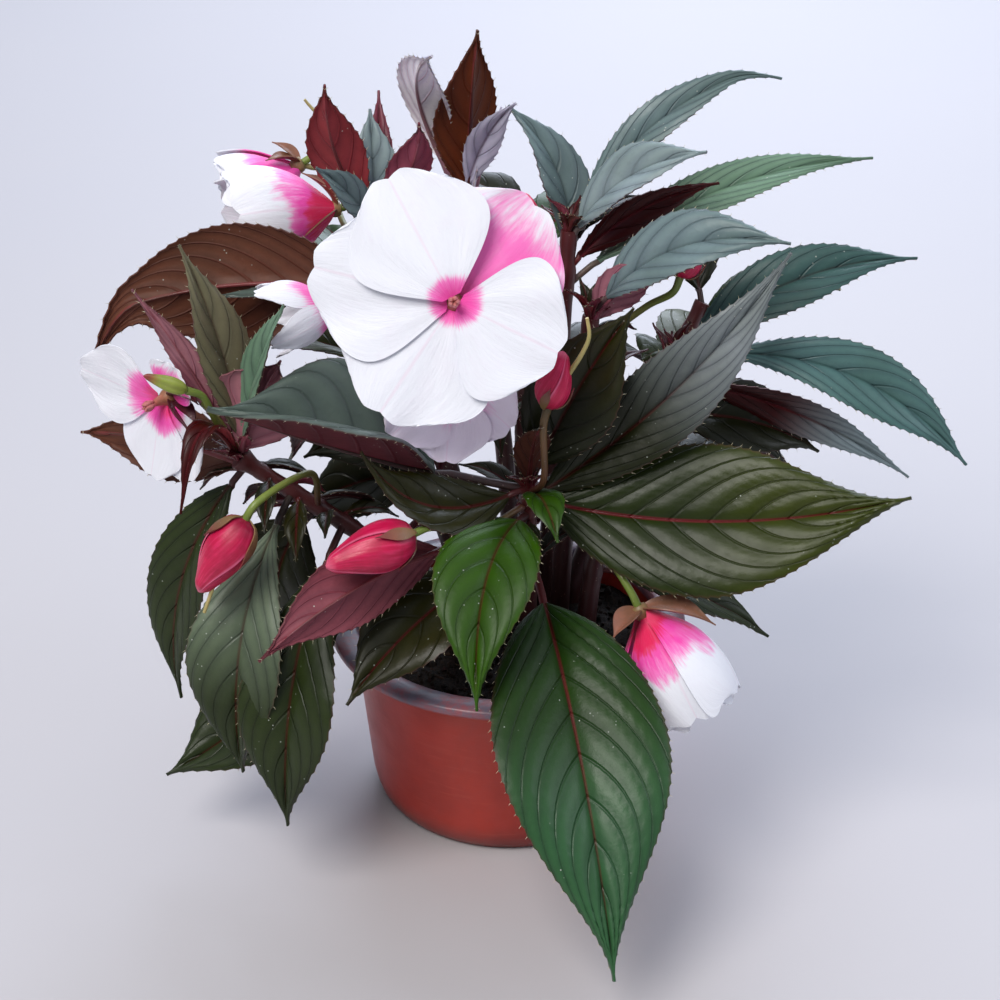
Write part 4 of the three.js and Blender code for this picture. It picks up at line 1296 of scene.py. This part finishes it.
def makePeat():
    heap = newHeap()
    rings, sides = 34, 96
    turns = np.linspace(0, 2 * np.pi, sides, endpoint=False)
    radius = np.linspace(peat["top"], 1.2, rings)[:, None]
    x, y = radius * np.cos(turns), radius * np.sin(turns)
    top = np.stack([x, y, peatHeight(x, y) + dice.normal(0, 0.22, x.shape)], -1)
    share = arr([0.0, 0.5, 0.98])[:, None]
    r = peat["footRadius"] + (peat["top"] - peat["footRadius"]) * share
    h = peat["bottom"] + (soilLevel - 2 - peat["bottom"]) * share
    skirt = np.stack([r * np.cos(turns), r * np.sin(turns), h + 0 * turns], -1)
    pourRound(heap, np.concatenate([skirt, top]), 0, linear(peat["dark"]))
    knobs, facets = crumbShape()
    for k in range(peat["crumbs"] + peat["bark"]):
        bark = k >= peat["crumbs"]
        r = (peat["top"] - 1.5) * math.sqrt(dice.uniform(0, 1))
        angle = dice.uniform(0, 2 * np.pi)
        x, y = r * math.cos(angle), r * math.sin(angle)
        size = dice.uniform(0.35, 1.3) * (1.1 if bark else 1.0)
        if bark:
            stretch = arr([dice.uniform(1.4, 2.6), dice.uniform(0.5, 0.9), dice.uniform(0.3, 0.5)])
        else:
            stretch = dice.uniform(0.7, 1.2, 3)
        lumps = knobs * dice.uniform(0.75, 1.2, (len(knobs), 1)) * size * stretch
        lumps = turned(lumps, up, dice.uniform(0, 2 * np.pi))
        tone = peat["barkTone"] if bark else (16 + dice.uniform(-4, 16), 12 + dice.uniform(-3, 10), 10)
        pour(heap, lumps + arr([x, y, peatHeight(x, y) + 0.25 * size]), facets, 0, linear(tone))
    makePiece("peatBed", heap, [peatMaterial()], "soil", "soil")


makePeat()
print("pot and peat made")


# floor, lights, camera and sky
studio = {
    "floor": (184, 181, 184),
    "floorCloud": (188, 184, 184),
    "sky": (206, 212, 224),
    "horizon": (120, 122, 126),
    "skyPower": 0.75,
    "aim": (0, 0, 0.12),
    "key": {"at": (-0.5, -0.7, 1.25), "size": 0.8, "power": 16.0, "tint": (255, 251, 246)},
    "back": {"at": (0.2, 1.3, 1.0), "size": 1.3, "power": 24.0, "tint": (226, 236, 255)},
    "side": {"at": (1.2, -0.1, 0.8), "size": 0.8, "power": 4.0, "tint": (236, 240, 255)},
    "camera": {"at": (-0.0025, -0.592, 0.417), "tilt": 62, "lens": 78.6, "sensor": 36, "near": 0.01},
}


def makeFloor():
    bpy.ops.mesh.primitive_plane_add(size=8, location=(0, 0, 0))
    floor = bpy.context.object
    floor.name = "studioFloor"
    material, tree, shader = newMaterial("paleFloor")
    where = node(tree, "TexCoord").outputs["Object"]
    share = fade(tree, noise(tree, where, 3.0, 4.0, 0.5), 0.3, 0.7, 0.0, 0.35)
    colour = colourMix(tree, share, rgba(studio["floor"]), rgba(studio["floorCloud"]))
    setShader(tree, shader, Base_Color=colour, Roughness=0.6)
    floor.data.materials.append(material)


def makeLight(name):
    look = studio[name]
    lamp = bpy.data.lights.new(name + "Light", "AREA")
    lamp.shape = "DISK"
    lamp.size = look["size"]
    lamp.energy = look["power"]
    lamp.color = linear(look["tint"])
    spot = bpy.data.objects.new(name + "Light", lamp)
    spot.location = look["at"]
    aim = Vector(studio["aim"]) - Vector(look["at"])
    spot.rotation_euler = aim.to_track_quat("-Z", "Y").to_euler()
    bpy.context.scene.collection.objects.link(spot)


def makeCamera():
    look = studio["camera"]
    lens = bpy.data.cameras.new("photoCamera")
    lens.lens = look["lens"]
    lens.sensor_width = look["sensor"]
    lens.clip_start = look["near"]
    camera = bpy.data.objects.new("photoCamera", lens)
    camera.location = look["at"]
    camera.rotation_euler = (math.radians(look["tilt"]), 0, 0)
    bpy.context.scene.collection.objects.link(camera)
    bpy.context.scene.camera = camera


def makeSky():
    world = bpy.data.worlds.new("softSky")
    world.use_nodes = True
    tree = world.node_tree
    height = node(tree, "SeparateXYZ", {0: node(tree, "TexCoord").outputs["Generated"]}).outputs[2]
    air = colourMix(tree, fade(tree, height, 0.0, 0.8), rgba(studio["horizon"]), rgba(studio["sky"]))
    sky = tree.nodes["Background"]
    tree.links.new(air, sky.inputs[0])
    sky.inputs[1].default_value = studio["skyPower"]
    bpy.context.scene.world = world
    bpy.context.scene.view_settings.view_transform = "Standard"


makeFloor()
for name in ("key", "back", "side"):
    makeLight(name)
makeCamera()
makeSky()
print("stage, lights and camera made")
